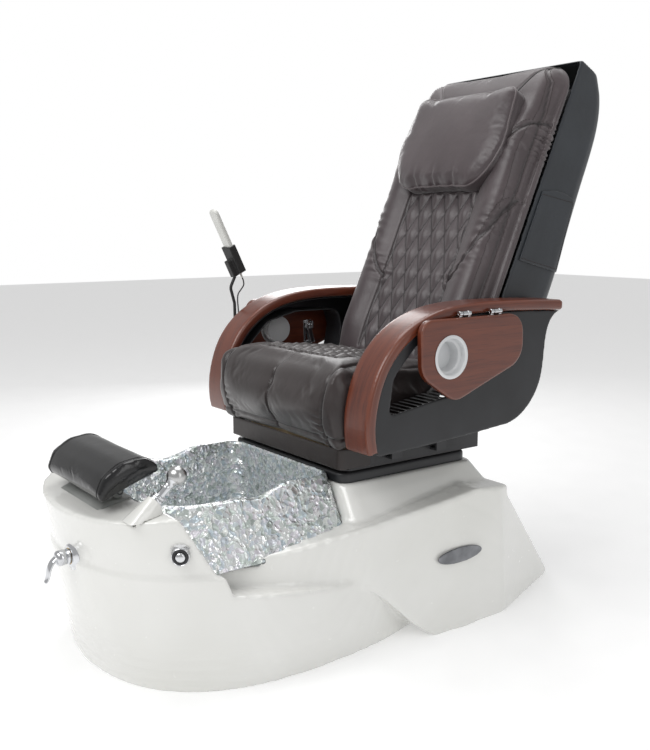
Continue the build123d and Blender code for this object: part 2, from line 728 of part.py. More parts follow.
def window_outline(grow):
    """The hand-wide window through the arm shell."""
    points = [(-76, 566), (-62, 655), (10, 728), (110, 752), (262, 752), (276, 700), (262, 622), (190, 606)]
    middle = Vector(0, 100, 660)
    corners = []
    for y, z in points:
        out = (Vector(0, y, z) - middle).normalized() * grow
        corners.append((y + out.Y, z + out.Z))
    return yz_face(corners, [12 + grow, 40, 50, 90, 30, 40, 40, 60])


def make_arm_shell():
    """Hollow black moulding, open towards the seat, with the window walled round."""
    low, high = arm_inner + arm_shell_inset, arm_outer - arm_shell_inset
    pocket = extrude_x(arm_outline(arm_shell_wall), low - 1, high - arm_shell_wall)
    frame = extrude_x(window_outline(arm_shell_wall), low, high)
    shell = extrude_x(arm_outline(0), low, high) - (pocket - frame)
    return shell - extrude_x(window_outline(0), low - 5, high + 5)


# ------------------------------------------------------------------------- trays
def make_tray():
    """Veneered leaf that hangs on the arm's outside and swings up level."""
    corners = [(-6, 787), (340, 787), (343, 668), (108, 583), (-2, 654)]
    leaf = extrude_x(yz_face(corners, [34, 48, 62, 52, 60]), tray_low_x, tray_low_x + tray_thickness)
    leaf = fillet(leaf.faces().filter_by(Axis.X).edges(), 2.5)
    leaf -= Pos(tray_axis_x, cup_y, cup_z) * Rot(0, 90, 0) * Cylinder(cup_mouth_radius + cup_wall + 0.3, 60)
    return leaf


def make_cup():
    """Stepped cup: a ring on the leaf, a wide mouth and a narrower well."""
    face = tray_low_x + tray_thickness
    place = Pos(face, cup_y, cup_z) * Rot(0, 90, 0)
    cup = place * Pos(0, 0, 1.8) * Cylinder(cup_ring_radius, 3.4)
    cup += place * Pos(0, 0, -8) * Cylinder(cup_mouth_radius + cup_wall, 20)
    well = place * Pos(0, 0, -16 - cup_bore_depth / 2)
    cup += well * Cylinder(cup_bore_radius + cup_wall, cup_bore_depth)
    cup -= place * Pos(0, 0, 0) * Cylinder(cup_mouth_radius, 28)
    return cup - well * Pos(0, 0, 3) * Cylinder(cup_bore_radius, cup_bore_depth + 2)


def make_tray_hinges():
    """Fixed hinge leaves: a middle knuckle and pin on a plate under each rail."""
    hinges = Part()
    for y in hinge_stations:
        knuckle = rod((tray_axis_x, y - 8, tray_axis_height), (tray_axis_x, y + 8, tray_axis_height),
                      hinge_knuckle_radius)
        knuckle += rod((tray_axis_x, y - 19, tray_axis_height), (tray_axis_x, y + 19, tray_axis_height),
                       hinge_pin_radius)
        knuckle += box_between((arm_outer, y - 8, tray_axis_height - 5),
                               (tray_axis_x, y + 8, tray_axis_height + 5))
        hinges += knuckle + mirror_x(knuckle)
    return hinges


def make_tray_fittings():
    """Moving hinge knuckles and the folding chrome stay on the leaf's back."""
    fittings = Part()
    low = tray_low_x
    for y in hinge_stations:
        for offset_y in (-14, 14):
            knuckle = rod((tray_axis_x, y + offset_y - 5, tray_axis_height),
                          (tray_axis_x, y + offset_y + 5, tray_axis_height), hinge_knuckle_radius)
            knuckle += box_between((tray_axis_x - 3, y + offset_y - 5, 787),
                                   (tray_axis_x + 3, y + offset_y + 5, tray_axis_height))
            knuckle -= rod((tray_axis_x, y - 30, tray_axis_height), (tray_axis_x, y + 30, tray_axis_height),
                           hinge_pin_radius + running_fit)
            fittings += knuckle
    plate = box_between((low - 2.2, 196, 628), (low - 0.2, 224, 716))
    plate += box_between((low - 26, 204, 690), (low - 2, 207, 714))
    plate += box_between((low - 26, 213, 690), (low - 2, 216, 714))
    plate += rod((low - 19, 200, 702), (low - 19, 220, 702), 3.5)
    plate += Pos(low - 19, 210, 676) * Rot(16, 0, 0) * Box(5, 14, 62)
    return fittings + plate


# ------------------------------------------------------------------------ remote
remote_place = Pos(-arm_outer - 53, 0, 866) * Rot(26, 0, 0)


def make_remote():
    """Slim handset with rounded ends and a pocket under each key."""
    body = Pos(0, 0, remote_length / 2) * Box(remote_width, remote_thickness, remote_length)
    body = fillet(body.edges().filter_by(Axis.Y), 15)
    body = fillet(body.edges().filter_by(GeomType.LINE).filter_by(Axis.Z), 5)
    for z in key_heights:
        body -= Pos(0, remote_thickness / 2, z) * Rot(90, 0, 0) * Cylinder(key_radius + 0.3, 8)
    body += Pos(0, 0, 2 - remote_tail / 2) * Cone(2.6, 5, remote_tail + 4)
    return remote_place * body


def make_remote_keys():
    """Three round keys that stand 1.5 mm proud of the handset's face."""
    keys = Part()
    face = remote_thickness / 2
    for z in key_heights:
        keys += remote_place * Pos(0, face + 1.5 - 2.1, z) * Rot(90, 0, 0) * Cylinder(key_radius, 4.2)
    return keys


def make_remote_holder():
    """Channel clip behind and beside the handset, on the neck's ferrule."""
    wide, deep = remote_width / 2 + remote_gap, remote_thickness / 2 + remote_gap
    clip = box_between((-wide - 4, -deep - 5, 2), (wide + 4, deep + 3, 88))
    clip -= box_between((-wide, -deep, -30), (wide, deep, 120))
    clip -= box_between((-wide + 6, 0, -30), (wide - 6, 30, 120))
    clip += Pos(0, -deep - 12, 24) * Box(22, 20, 52)
    return remote_place * clip


shell_face = arm_shell_inset - arm_outer        # X of the right arm shell's outer face
neck_x = -arm_outer - 53
neck_route = [tuple((remote_place * Pos(0, -20, -2)).position), (neck_x, -34, 822), (neck_x + 1, -21, 775),
              (neck_x + 4, -22, 725), (neck_x + 12, -36, 684), (neck_x + 36, -46, 664),
              (shell_face - 2, -48, 660)]
cable_route = [tuple((remote_place * Pos(0, 0, -remote_tail)).position),
               tuple((remote_place * Pos(0, 0, -remote_tail - 20)).position), (-419, 0, 815),
               (-413, -15, 803), (-409, -19, 784), (-402, -21, 762), (-392, -26, 740), (-382, -32, 720),
               (-374, -38, 706), (-368, -42, 697)]


def make_gooseneck():
    """Bendable neck from a socket on the arm shell to the remote's clip, and the cable's gland."""
    neck = tube(neck_route, neck_radius, 24)
    neck += rod((shell_face, -48, 660), (shell_face - 26, -48, 660), 9)
    end = Vector(*cable_route[-1])
    inward = (end - Vector(*cable_route[-2])).normalized()
    gland = rod(tuple(end), tuple(end + inward * 14), gland_radius)
    gland -= box_between((shell_face, -100, 600), (0, 100, 800))
    return neck - make_remote_holder() + gland


def make_remote_cable():
    """Limp lead from the handset to a gland in the arm shell."""
    points = [Vector(*p) for p in cable_route]
    radii = []
    for a, b, c in zip(points, points[1:], points[2:]):
        turn = radians((b - a).get_angle(c - b))
        run = min((b - a).length, (c - b).length)
        radii.append(0.45 * run / tan(turn / 2))
    print("cable radii", [round(r, 1) for r in radii])
    path = FilletPolyline(*cable_route, radius=radii)
    cable = sweep(Plane(origin=path @ 0, z_dir=path % 0) * Circle(cable_radius), path)
    share = cable.volume / (pi * cable_radius ** 2 * path.length)
    print("cable length", round(path.length, 1), "volume share", round(share, 4))
    return cable


# -------------------------------------------------------------------------- back
back_place = Pos(0, *back_foot) * Rot(-back_angle, 0, 0)


def back_point(y, z):
    """Back frame coordinates (rearwards, upwards) of a point of the chair."""
    dy, dz = y - back_foot[0], z - back_foot[1]
    s, c = sin(radians(back_angle)), cos(radians(back_angle))
    return dy * c - dz * s, dy * s + dz * c


pivot_w, pivot_u = back_point(*back_pivot)


def back_section(u, rear, inset):
    """Cross-section of the rear shell at height u: square in front, round behind."""
    wide, front = back_half_width - inset, 22 - 4 * inset
    points = [(wide, front), (wide, rear - inset), (-wide, rear - inset), (-wide, front)]
    radius = 44 - inset
    outline = [(x, w, u) for x, w in points]
    return make_face(FilletPolyline(*outline, radius=[2, radius, radius, 2], close=True))


def back_hull(inset):
    """Rear shell's outer or inner form, lofted from foot to top."""
    top = back_length - 14
    stations = [(-110, 196), (60, 210), (240, 217), (420, 216), (600, 205), (top - 150, 200),
                (top - 60, 186), (top, 158)]
    body = loft([back_section(u, rear, inset) for u, rear in stations])
    cap = loft([back_section(top, 158, inset), back_section(top + 38 - inset, 124, inset)])
    return body + cap


def make_back_shell():
    """Rear shell of the back: a deep tray, open in front and below."""
    foot_cut = yz_face([(-60, -200), (-60, -58), (22, -58), (198, -36), (300, -24), (300, -200)])
    shell = back_hull(0) - back_hull(back_wall) - extrude_x(foot_cut, -400, 400)
    return back_place * shell


def make_back_cushion():
    """Front padding of the back, crowned forwards and rolled over the top."""
    top = back_length + 2
    section = [(20, -60), (20, top - 10), (-8, top), (-36, top - 26), (-46, top - 206), (-44, 300),
               (-46, -30), (-30, -60)]
    side = yz_face(section, [4, 10, 14, 30, 300, 500, 40, 14])
    cushion = extrude_x(side, -back_half_width, back_half_width)
    return back_place * fillet(cushion.faces().filter_by(Axis.X).edges(), 9)


def make_pillow():
    """Head pillow that lies on the top third of the back."""
    top = back_length - 112
    corners = [(-196, top), (196, top), (214, top - 152), (140, top - 300), (-140, top - 300),
               (-214, top - 152)]
    outline = [(x, 0, z) for x, z in corners]
    face = make_face(FilletPolyline(*outline, radius=[30, 30, 60, 50, 50, 60], close=True))
    pillow = extrude(face, 64, dir=(0, -1, 0))
    pillow = fillet(pillow.edges(), 18)
    return back_place * Pos(0, -47, 0) * pillow


def make_back_frame():
    """Tube frame with hinge ears, a cross shaft and its lever, and the massage rails."""
    frame = Part()
    rail_top = back_length - 104
    for side in (-1, 1):
        x, rail_x = side * frame_bar_x, side * massage_rail_x
        frame += box_between((x - 4, 55, -40), (x + 4, 85, rail_top + 60))
        frame += box_between((x - 4, pivot_w - 14, pivot_u), (x + 4, pivot_w + 14, -30))
        frame += Pos(x, pivot_w, pivot_u) * Rot(0, 90, 0) * Cylinder(17, 8)
        frame += rod((rail_x, massage_rail_w, -30), (rail_x, massage_rail_w, rail_top), massage_rail_radius)
    for u in (-34, rail_top):
        frame += box_between((2 - frame_bar_x, 58, u - 10), (frame_bar_x - 2, massage_rail_w + 10, u + 10))
    frame += Pos(0, pivot_w, pivot_u) * Rot(0, 90, 0) * Cylinder(12, 2 * frame_bar_x - 4)
    for side in (-1, 1):
        bore = Pos(side * (frame_bar_x - 2), pivot_w, pivot_u) * Rot(0, 90, 0)
        frame -= bore * Cylinder(pivot_radius + running_fit, 20)
    placed = back_place * frame
    y, z = back_pivot
    swing = recline_range / 2
    for side in (-1, 1):
        swung = Pos(side * 10, y, z) * Rot(swing, 0, 0)
        placed += swung * box_between((-3, -10, -lever_length), (3, 10, 0))
        placed += swung * Pos(0, 0, -lever_length) * Rot(0, 90, 0) * Cylinder(10, 6)
    pin = Pos(0, y, z) * Rot(swing, 0, 0) * Pos(0, 0, -lever_length) * Rot(0, 90, 0) * Cylinder(4, 20)
    return placed + pin


lever_end_y = back_pivot[0] + lever_length * sin(radians(recline_range / 2))
lever_end_z = back_pivot[1] - lever_length * cos(radians(recline_range / 2))


def make_recline_actuator():
    """Motor and tube of the linear drive that tips the back."""
    drive = rod((0, -60, lever_end_z), (0, 200, lever_end_z), 15)
    drive += box_between((-30, -75, frame_bottom + frame_sheet), (30, -5, lever_end_z + 15))
    return drive - rod((0, 100, lever_end_z), (0, 210, lever_end_z), rod_radius + running_fit)


def make_recline_rod():
    """Push rod with an eye; the eye is left loose on the lever's pin."""
    bar = rod((0, 150, lever_end_z), (0, lever_end_y - 6, lever_end_z), rod_radius)
    eye = Pos(0, lever_end_y, lever_end_z) * Rot(0, 90, 0) * Cylinder(11, 10)
    return bar + eye - Pos(0, lever_end_y, lever_end_z) * Rot(0, 90, 0) * Cylinder(7.2, 30)


def make_massage_carriage():
    """Carriage on the two rails, with the arms that hold the roller axle."""
    block = box_between((-118, massage_rail_w - 14, -45), (118, massage_rail_w + 16, 45))
    for side in (-1, 1):
        block += box_between((side * 112 - 4, 50, -12), (side * 112 + 4, massage_rail_w, 12))
        rail_bore = Pos(side * massage_rail_x, massage_rail_w, 0)
        block -= rail_bore * Cylinder(massage_rail_radius + running_fit, 120)
        block -= Pos(side * 112, roller_axis_w, 0) * Rot(0, 90, 0) * Cylinder(5 + running_fit, 20)
    block += box_between((-40, massage_rail_w + 16, -30), (40, massage_rail_w + 62, 30))
    return back_place * Pos(0, 0, carriage_rest) * block


def make_massage_rollers():
    """Four kneading wheels on one axle."""
    wheels = Pos(0, roller_axis_w, 0) * Rot(0, 90, 0) * Cylinder(5, 236)
    for x in (-84, -50, 50, 84):
        wheel = Pos(x, roller_axis_w, 0) * Rot(0, 90, 0) * Cylinder(roller_radius, 16)
        wheels += fillet(wheel.edges(), 5)
    return back_place * Pos(0, 0, carriage_rest) * wheels


# ------------------------------------------------------------------------ export
def export_parts(pieces):
    os.makedirs("parts", exist_ok=True)
    for name, shape in pieces.items():
        export_step(shape, f"parts/{name}.step")


pieces = {
    "base_shell": make_base_shell(),
    "foot_bowl": make_foot_bowl(),
    "base_frame": make_base_frame(),
    "levelling_feet": make_levelling_feet(),
    "slide_cover": make_slide_cover(),
    "slide_rails": make_slide_rails(),
    "slide_actuator": make_slide_actuator(),
    "mixer_plate": make_mixer_plate(),
    "mixer_valve": make_mixer_valve(),
    "supply_pipes": make_supply_pipes(),
    "inlet_fittings": make_inlet_fittings(),
    "drain_fitting": make_drain_fitting(),
    "drain_pipe": make_drain_pipe(),
    "jet_housing": make_jet_housing(),
    "jet_motor": make_jet_motor(),
    "control_box": make_control_box(),
    "power_inlet": make_power_inlet(),
    "service_panel": make_service_panel(),
    "side_badges": make_side_badges(),
    "button_bezel": make_button_bezel(),
    "spray_pedestal": make_spray_pedestal(),
    "spray_collar": make_spray_collar(),
    "footrest_bracket": make_footrest_bracket(),
    "air_button": make_air_button(),
    "mixer_hub": make_mixer_hub(),
    "mixer_lever": make_mixer_lever(),
    "spray_head": make_spray_head(),
    "footrest_cradle": make_footrest_cradle(),
    "footrest_pad": make_footrest_pad(),
    "drain_stopper": make_drain_stopper(),
    "jet_impeller": make_jet_impeller(),
    "seat_frame": make_seat_frame(),
    "slide_rod": make_slide_rod(),
    "seat_board": make_seat_board(),
    "seat_cushion": make_seat_cushion(),
    "seat_skirt": make_seat_skirt(),
    "arm_rail_left": make_arm_rail(),
    "arm_rail_right": mirror_x(make_arm_rail()),
    "arm_shell_left": make_arm_shell(),
    "arm_shell_right": mirror_x(make_arm_shell()),
    "tray_hinges": make_tray_hinges(),
    "recline_actuator": make_recline_actuator(),
    "gooseneck": make_gooseneck(),
    "remote_holder": make_remote_holder(),
    "remote_cable": make_remote_cable(),
    "tray_left": make_tray(),
    "tray_right": mirror_x(make_tray()),
    "cup_left": make_cup(),
    "cup_right": mirror_x(make_cup()),
    "tray_fittings_left": make_tray_fittings(),
    "tray_fittings_right": mirror_x(make_tray_fittings()),
    "remote": make_remote(),
    "remote_keys": make_remote_keys(),
    "back_shell": make_back_shell(),
    "back_frame": make_back_frame(),
    "back_cushion": make_back_cushion(),
    "pillow": make_pillow(),
    "recline_rod": make_recline_rod(),
    "massage_carriage": make_massage_carriage(),
    "massage_rollers": make_massage_rollers(),
}
export_parts(pieces)
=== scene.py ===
import json
from math import cos, hypot, pi, radians, sin

import bmesh
import bpy
import numpy as np
from mathutils import Matrix, Vector, noise
from mathutils.bvhtree import BVHTree


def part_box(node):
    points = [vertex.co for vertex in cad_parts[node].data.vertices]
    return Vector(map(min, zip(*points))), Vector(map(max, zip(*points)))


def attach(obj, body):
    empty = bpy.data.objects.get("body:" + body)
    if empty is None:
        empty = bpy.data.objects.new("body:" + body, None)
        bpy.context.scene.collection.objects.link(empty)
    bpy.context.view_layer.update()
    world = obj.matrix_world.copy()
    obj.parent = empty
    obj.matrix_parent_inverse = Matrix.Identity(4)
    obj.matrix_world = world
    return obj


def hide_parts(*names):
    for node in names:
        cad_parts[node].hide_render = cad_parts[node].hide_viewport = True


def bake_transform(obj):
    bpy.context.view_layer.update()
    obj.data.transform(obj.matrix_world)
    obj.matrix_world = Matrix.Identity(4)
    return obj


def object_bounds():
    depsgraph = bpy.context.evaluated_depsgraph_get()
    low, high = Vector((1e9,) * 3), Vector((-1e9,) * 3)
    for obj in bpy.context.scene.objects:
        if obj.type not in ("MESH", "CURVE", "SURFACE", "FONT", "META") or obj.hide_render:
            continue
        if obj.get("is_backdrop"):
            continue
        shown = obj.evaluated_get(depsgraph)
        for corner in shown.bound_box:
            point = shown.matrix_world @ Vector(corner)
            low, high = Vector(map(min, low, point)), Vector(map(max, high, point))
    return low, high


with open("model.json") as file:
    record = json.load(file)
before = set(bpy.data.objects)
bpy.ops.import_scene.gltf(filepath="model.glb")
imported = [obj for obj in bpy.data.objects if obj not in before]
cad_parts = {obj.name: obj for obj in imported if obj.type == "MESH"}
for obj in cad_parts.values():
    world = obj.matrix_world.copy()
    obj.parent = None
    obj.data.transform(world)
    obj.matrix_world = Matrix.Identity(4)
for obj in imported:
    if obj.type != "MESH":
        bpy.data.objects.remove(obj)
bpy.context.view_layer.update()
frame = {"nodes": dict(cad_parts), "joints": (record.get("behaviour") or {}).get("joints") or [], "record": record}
joints = {joint["name"]: joint for joint in frame["joints"]}
nodes = frame["nodes"]
scene = bpy.context.scene

# %% [markdown]
# The camera comes first, because it decides how much a detail matters. It stands low, in front of the
# sitter's left foot, and looks along the chair at its middle. It is turned with a track quaternion,
# so the three numbers below (turn, rise, distance) are the whole description of the view.
# %% Camera
look_at = Vector((0, 0.005, 0.609))
camera_turn, camera_rise, camera_distance = radians(53.68), radians(9.23), 2.463
toward_camera = Vector((sin(camera_turn) * cos(camera_rise), -cos(camera_turn) * cos(camera_rise), sin(camera_rise)))
camera = bpy.data.objects.new("camera", bpy.data.cameras.new("camera"))
camera.data.lens = 44.1
camera.location = look_at + camera_distance * toward_camera
camera.rotation_euler = (-toward_camera).to_track_quat("-Z", "Y").to_euler()
scene.collection.objects.link(camera)
scene.camera = camera
print("camera at", [round(v, 3) for v in camera.location])

# %% [markdown]
# The remote hangs on a thin limp lead that drops from the handset to a gland in the arm. A NURBS curve
# of order 3 through a few control points gives the soft, even bends of such a lead. The order and the
# end points are set after the points are added, because before that they don't stick.
# %% The remote's lead
lead_route = [(-0.424, 0.0079, 0.8498), (-0.424, 0.0167, 0.8318), (-0.419, 0.0, 0.815), (-0.413, -0.015, 0.803),
              (-0.409, -0.019, 0.784), (-0.402, -0.021, 0.762), (-0.392, -0.026, 0.740), (-0.382, -0.032, 0.720),
              (-0.374, -0.038, 0.706), (-0.368, -0.042, 0.697)]
lead_radius, lead_length = 0.002, 0.181


def route_curve(name, route, radius):
    """A smooth NURBS line through control points, with a round section if it has a radius."""
    data = bpy.data.curves.new(name, "CURVE")
    data.dimensions = "3D"
    data.resolution_u = 10
    data.bevel_depth = radius
    data.bevel_resolution = 4
    data.use_fill_caps = radius > 0
    line = data.splines.new("NURBS")
    line.points.add(len(route) - 1)
    for point, place in zip(line.points, route):
        point.co = (*place, 1)
    line.order_u = 3
    line.use_endpoint_u = True
    curve = bpy.data.objects.new(name, data)
    scene.collection.objects.link(curve)
    return curve


def taken_mesh(obj, name):
    """The object's finished mesh, with its modifiers in it; the object itself is removed."""
    depsgraph = bpy.context.evaluated_depsgraph_get()
    mesh = bpy.data.meshes.new_from_object(obj.evaluated_get(depsgraph), depsgraph=depsgraph)
    bpy.data.objects.remove(obj)
    mesh.name = name
    return mesh


def route_points(route):
    """Points along the smooth line of a route."""
    mesh = taken_mesh(route_curve("line", route, 0), "line")
    points = [vert.co.copy() for vert in mesh.vertices]
    bpy.data.meshes.remove(mesh)
    return points


lead = bpy.data.objects.new("remote_lead", taken_mesh(route_curve("lead", lead_route, lead_radius), "remote_lead"))
scene.collection.objects.link(lead)
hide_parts("remote_cable")
lead_line = route_points(lead_route)
print("lead", round(sum((b - a).length for a, b in zip(lead_line, lead_line[1:])), 3), "m along its line")

# %% [markdown]
# A showroom: a pale floor that reaches far behind the chair, a pale sky that fills the shadows, one big
# softbox overhead and in front, a second from the sitter's side and a narrow one that draws the long
# highlight down the back. Area lights are turned to face the chair by the same track quaternion.
# %% Floor and light
scene.view_settings.view_transform = "Standard"


def softbox(name, place, aim, width, height, power, tint=(1, 1, 1)):
    """A rectangular area light that faces a point."""
    data = bpy.data.lights.new(name, "AREA")
    data.shape = "RECTANGLE"
    data.size, data.size_y = width, height
    data.energy = power
    data.color = tint
    light = bpy.data.objects.new(name, data)
    light.location = place
    light.rotation_euler = (Vector(aim) - Vector(place)).to_track_quat("-Z", "Y").to_euler()
    scene.collection.objects.link(light)
    return light


softbox("key", (0.4, -2.6, 3.2), (0, 0, 0.7), 2.6, 1.8, 60)
softbox("overhead", (-0.6, 0.4, 3.4), (0, 0, 0.6), 2.2, 2.2, 38)
softbox("side", (3.2, 0.2, 1.6), (0.2, 0, 0.6), 0.8, 2.4, 10)
softbox("rim", (-2.6, 1.6, 1.8), (0, 0.2, 0.9), 1.0, 2.4, 22)
sky = bpy.data.worlds.new("showroom")
sky.use_nodes = True
sky_light = sky.node_tree.nodes["Background"]
sky_light.inputs["Strength"].default_value = 0.50
sky_seen = sky.node_tree.nodes.new("ShaderNodeBackground")
for background in (sky_light, sky_seen):
    background.inputs["Color"].default_value = (1, 1, 1, 1)
either = sky.node_tree.nodes.new("ShaderNodeMixShader")
looking = sky.node_tree.nodes.new("ShaderNodeLightPath")
sky.node_tree.links.new(looking.outputs["Is Camera Ray"], either.inputs["Fac"])
sky.node_tree.links.new(sky_light.outputs["Background"], either.inputs[1])
sky.node_tree.links.new(sky_seen.outputs["Background"], either.inputs[2])
sky.node_tree.links.new(either.outputs["Shader"], sky.node_tree.nodes["World Output"].inputs["Surface"])
scene.world = sky

floor_form = bmesh.new()
bmesh.ops.create_grid(floor_form, x_segments=2, y_segments=2, size=14)
floor_mesh = bpy.data.meshes.new("floor")
floor_form.to_mesh(floor_mesh)
floor_form.free()
floor = bpy.data.objects.new("floor", floor_mesh)
scene.collection.objects.link(floor)
floor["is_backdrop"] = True

# %% [markdown]
# Materials are node trees, and writing them out link by link hides the idea. This helper makes a node,
# sets its options and fills its inputs, with a value or with another node's output. Effects that several
# finishes share are node groups with named sockets. They give out only colours and values, so the
# shader, the part that the exporter has to recognise, stays in each material.
# %% A helper for shader nodes
def add(tree, kind, inputs=None, **options):
    """Make one node; each input gets a constant or a link."""
    made = tree.nodes.new(kind)
    for key, value in options.items():
        setattr(made, key, value)
    for key, value in (inputs or {}).items():
        if isinstance(value, bpy.types.NodeSocket):
            tree.links.new(value, made.inputs[key])
        else:
            made.inputs[key].default_value = value
    return made


def ramp(tree, factor, stops, interpolation="LINEAR"):
    """A colour ramp with (position, value or colour) stops."""
    made = add(tree, "ShaderNodeValToRGB", {"Fac": factor})
    band = made.color_ramp
    band.interpolation = interpolation
    while len(band.elements) < len(stops):
        band.elements.new(0.5)
    for element, (position, tone) in zip(band.elements, stops):
        element.position = position
        element.color = (*tone, 1) if isinstance(tone, tuple) else (tone, tone, tone, 1)
    return made.outputs["Color"]


def new_group(name, inputs, outputs):
    """An empty shader group; inputs are (name, socket type, default) and outputs (name, socket type)."""
    group = bpy.data.node_groups.new(name, "ShaderNodeTree")
    for label, kind, default in inputs:
        socket = group.interface.new_socket(label, in_out="INPUT", socket_type=kind)
        if default is not None:
            socket.default_value = default
    for label, kind in outputs:
        group.interface.new_socket(label, in_out="OUTPUT", socket_type=kind)
    return group, group.nodes.new("NodeGroupInput").outputs, group.nodes.new("NodeGroupOutput").inputs


def use(tree, group, inputs=None):
    """Place a group in a material and return its outputs."""
    made = tree.nodes.new("ShaderNodeGroup")
    made.node_tree = group
    for key, value in (inputs or {}).items():
        if isinstance(value, bpy.types.NodeSocket):
            tree.links.new(value, made.inputs[key])
        else:
            made.inputs[key].default_value = value
    return made.outputs


# %% [markdown]
# Four groups serve the whole chair. Hide grain: the pebbles and fine creases of leather. Worn edges: a
# mask from the surface's pointiness, bright where hands polish a convex edge. Drift: slow changes of
# tone, which keep a large surface from looking printed. Settled dust: a faint film on faces that look up.
# %% Shared shader groups
FLOAT, VECTOR = "NodeSocketFloat", "NodeSocketVector"


def make_hide_grain():
    group, given, out = new_group("hide_grain", [("Vector", VECTOR, None), ("Scale", FLOAT, 600.0)],
                                  [("Height", FLOAT), ("Valley", FLOAT)])
    wobble = add(group, "ShaderNodeTexNoise", {"Vector": given["Vector"], "Scale": 90.0, "Detail": 2.0})
    bent = add(group, "ShaderNodeVectorMath", {0: wobble.outputs["Color"], 1: (0.004, 0.004, 0.004)},
               operation="MULTIPLY")
    moved = add(group, "ShaderNodeVectorMath", {0: given["Vector"], 1: bent.outputs["Vector"]}, operation="ADD")
    pebble = add(group, "ShaderNodeTexVoronoi", {"Vector": moved.outputs["Vector"], "Scale": given["Scale"]},
                 feature="SMOOTH_F1")
    crease = add(group, "ShaderNodeTexNoise", {"Vector": moved.outputs["Vector"], "Scale": 60.0, "Detail": 5.0,
                                               "Roughness": 0.62})
    height = add(group, "ShaderNodeMath", {0: pebble.outputs["Distance"], 1: -0.7, 2: crease.outputs["Fac"]},
                 operation="MULTIPLY_ADD")
    group.links.new(height.outputs["Value"], out["Height"])
    group.links.new(ramp(group, pebble.outputs["Distance"], [(0.45, 0.0), (0.85, 1.0)]), out["Valley"])
    return group


def make_worn_edges():
    group, given, out = new_group("worn_edges", [("Start", FLOAT, 0.53), ("End", FLOAT, 0.62)], [("Mask", FLOAT)])
    point = add(group, "ShaderNodeNewGeometry").outputs["Pointiness"]
    mask = add(group, "ShaderNodeMapRange", {"Value": point, "From Min": given["Start"], "From Max": given["End"]})
    group.links.new(mask.outputs["Result"], out["Mask"])
    return group


def make_drift():
    group, given, out = new_group("drift", [("Vector", VECTOR, None), ("Scale", FLOAT, 5.0)], [("Tone", FLOAT)])
    slow = add(group, "ShaderNodeTexNoise", {"Vector": given["Vector"], "Scale": given["Scale"], "Detail": 3.0})
    group.links.new(ramp(group, slow.outputs["Fac"], [(0.3, 0.0), (0.7, 1.0)]), out["Tone"])
    return group


def make_dust():
    group, given, out = new_group("settled_dust", [("Vector", VECTOR, None), ("Amount", FLOAT, 0.1)],
                                  [("Mask", FLOAT)])
    normal = add(group, "ShaderNodeNewGeometry").outputs["Normal"]
    up = add(group, "ShaderNodeSeparateXYZ", {"Vector": normal}).outputs["Z"]
    level = add(group, "ShaderNodeMapRange", {"Value": up, "From Min": 0.4, "From Max": 1.0})
    specks = add(group, "ShaderNodeTexNoise", {"Vector": given["Vector"], "Scale": 140.0, "Detail": 4.0})
    both = add(group, "ShaderNodeMath", {0: level.outputs["Result"], 1: specks.outputs["Fac"]}, operation="MULTIPLY")
    mask = add(group, "ShaderNodeMath", {0: both.outputs["Value"], 1: given["Amount"]}, operation="MULTIPLY")
    group.links.new(mask.outputs["Value"], out["Mask"])
    return group


hide_grain, worn_edges, drift, settled_dust = make_hide_grain(), make_worn_edges(), make_drift(), make_dust()
print("groups", sorted(group.name for group in bpy.data.node_groups))


# %% [markdown]
# Each finish below starts the same way: a Principled shader, the Object coordinates that every texture
# reads, and a slow drift of tone between two close colours. What makes a finish recognisable comes
# after that, in its roughness and its bump.
# %% The start of every finish
def start_finish(name, deep, light, drift_scale=5.0):
    """A material with a two-tone colour; returns its tree, shader, coordinates and mixed colour."""
    material = bpy.data.materials.new(name)
    material.use_nodes = True
    tree = material.node_tree
    shader = tree.nodes["Principled BSDF"]
    place = add(tree, "ShaderNodeTexCoord").outputs["Object"]
    tone = use(tree, drift, {"Vector": place, "Scale": drift_scale})["Tone"]
    colour = blend_colour(tree, tone, deep, light)
    tree.links.new(colour, shader.inputs["Base Color"])
    return material, tree, shader, place, colour


def blend_colour(tree, factor, first, second):
    """Mix two colours, each a constant or a link, and return the result."""
    mix = add(tree, "ShaderNodeMix", data_type="RGBA")
    for socket, value in ((mix.inputs["Factor"], factor), (mix.inputs[6], first), (mix.inputs[7], second)):
        if isinstance(value, bpy.types.NodeSocket):
            tree.links.new(value, socket)
        else:
            socket.default_value = (*value, 1) if isinstance(value, tuple) else value
    return mix.outputs[2]


def set_bump(tree, shader, height, strength, distance, before=None):
    """Bump the normal by a height, on top of another bump if there is one."""
    bump = add(tree, "ShaderNodeBump", {"Height": height, "Strength": strength, "Distance": distance})
    if before:
        tree.links.new(before, bump.inputs["Normal"])
    tree.links.new(bump.outputs["Normal"], shader.inputs["Normal"])
    return bump.outputs["Normal"]


def set_range(tree, socket, value, low, high):
    """Let a texture move a shader input between two values."""
    made = add(tree, "ShaderNodeMapRange", {"Value": value, "To Min": low, "To Max": high})
    tree.links.new(made.outputs["Result"], socket)


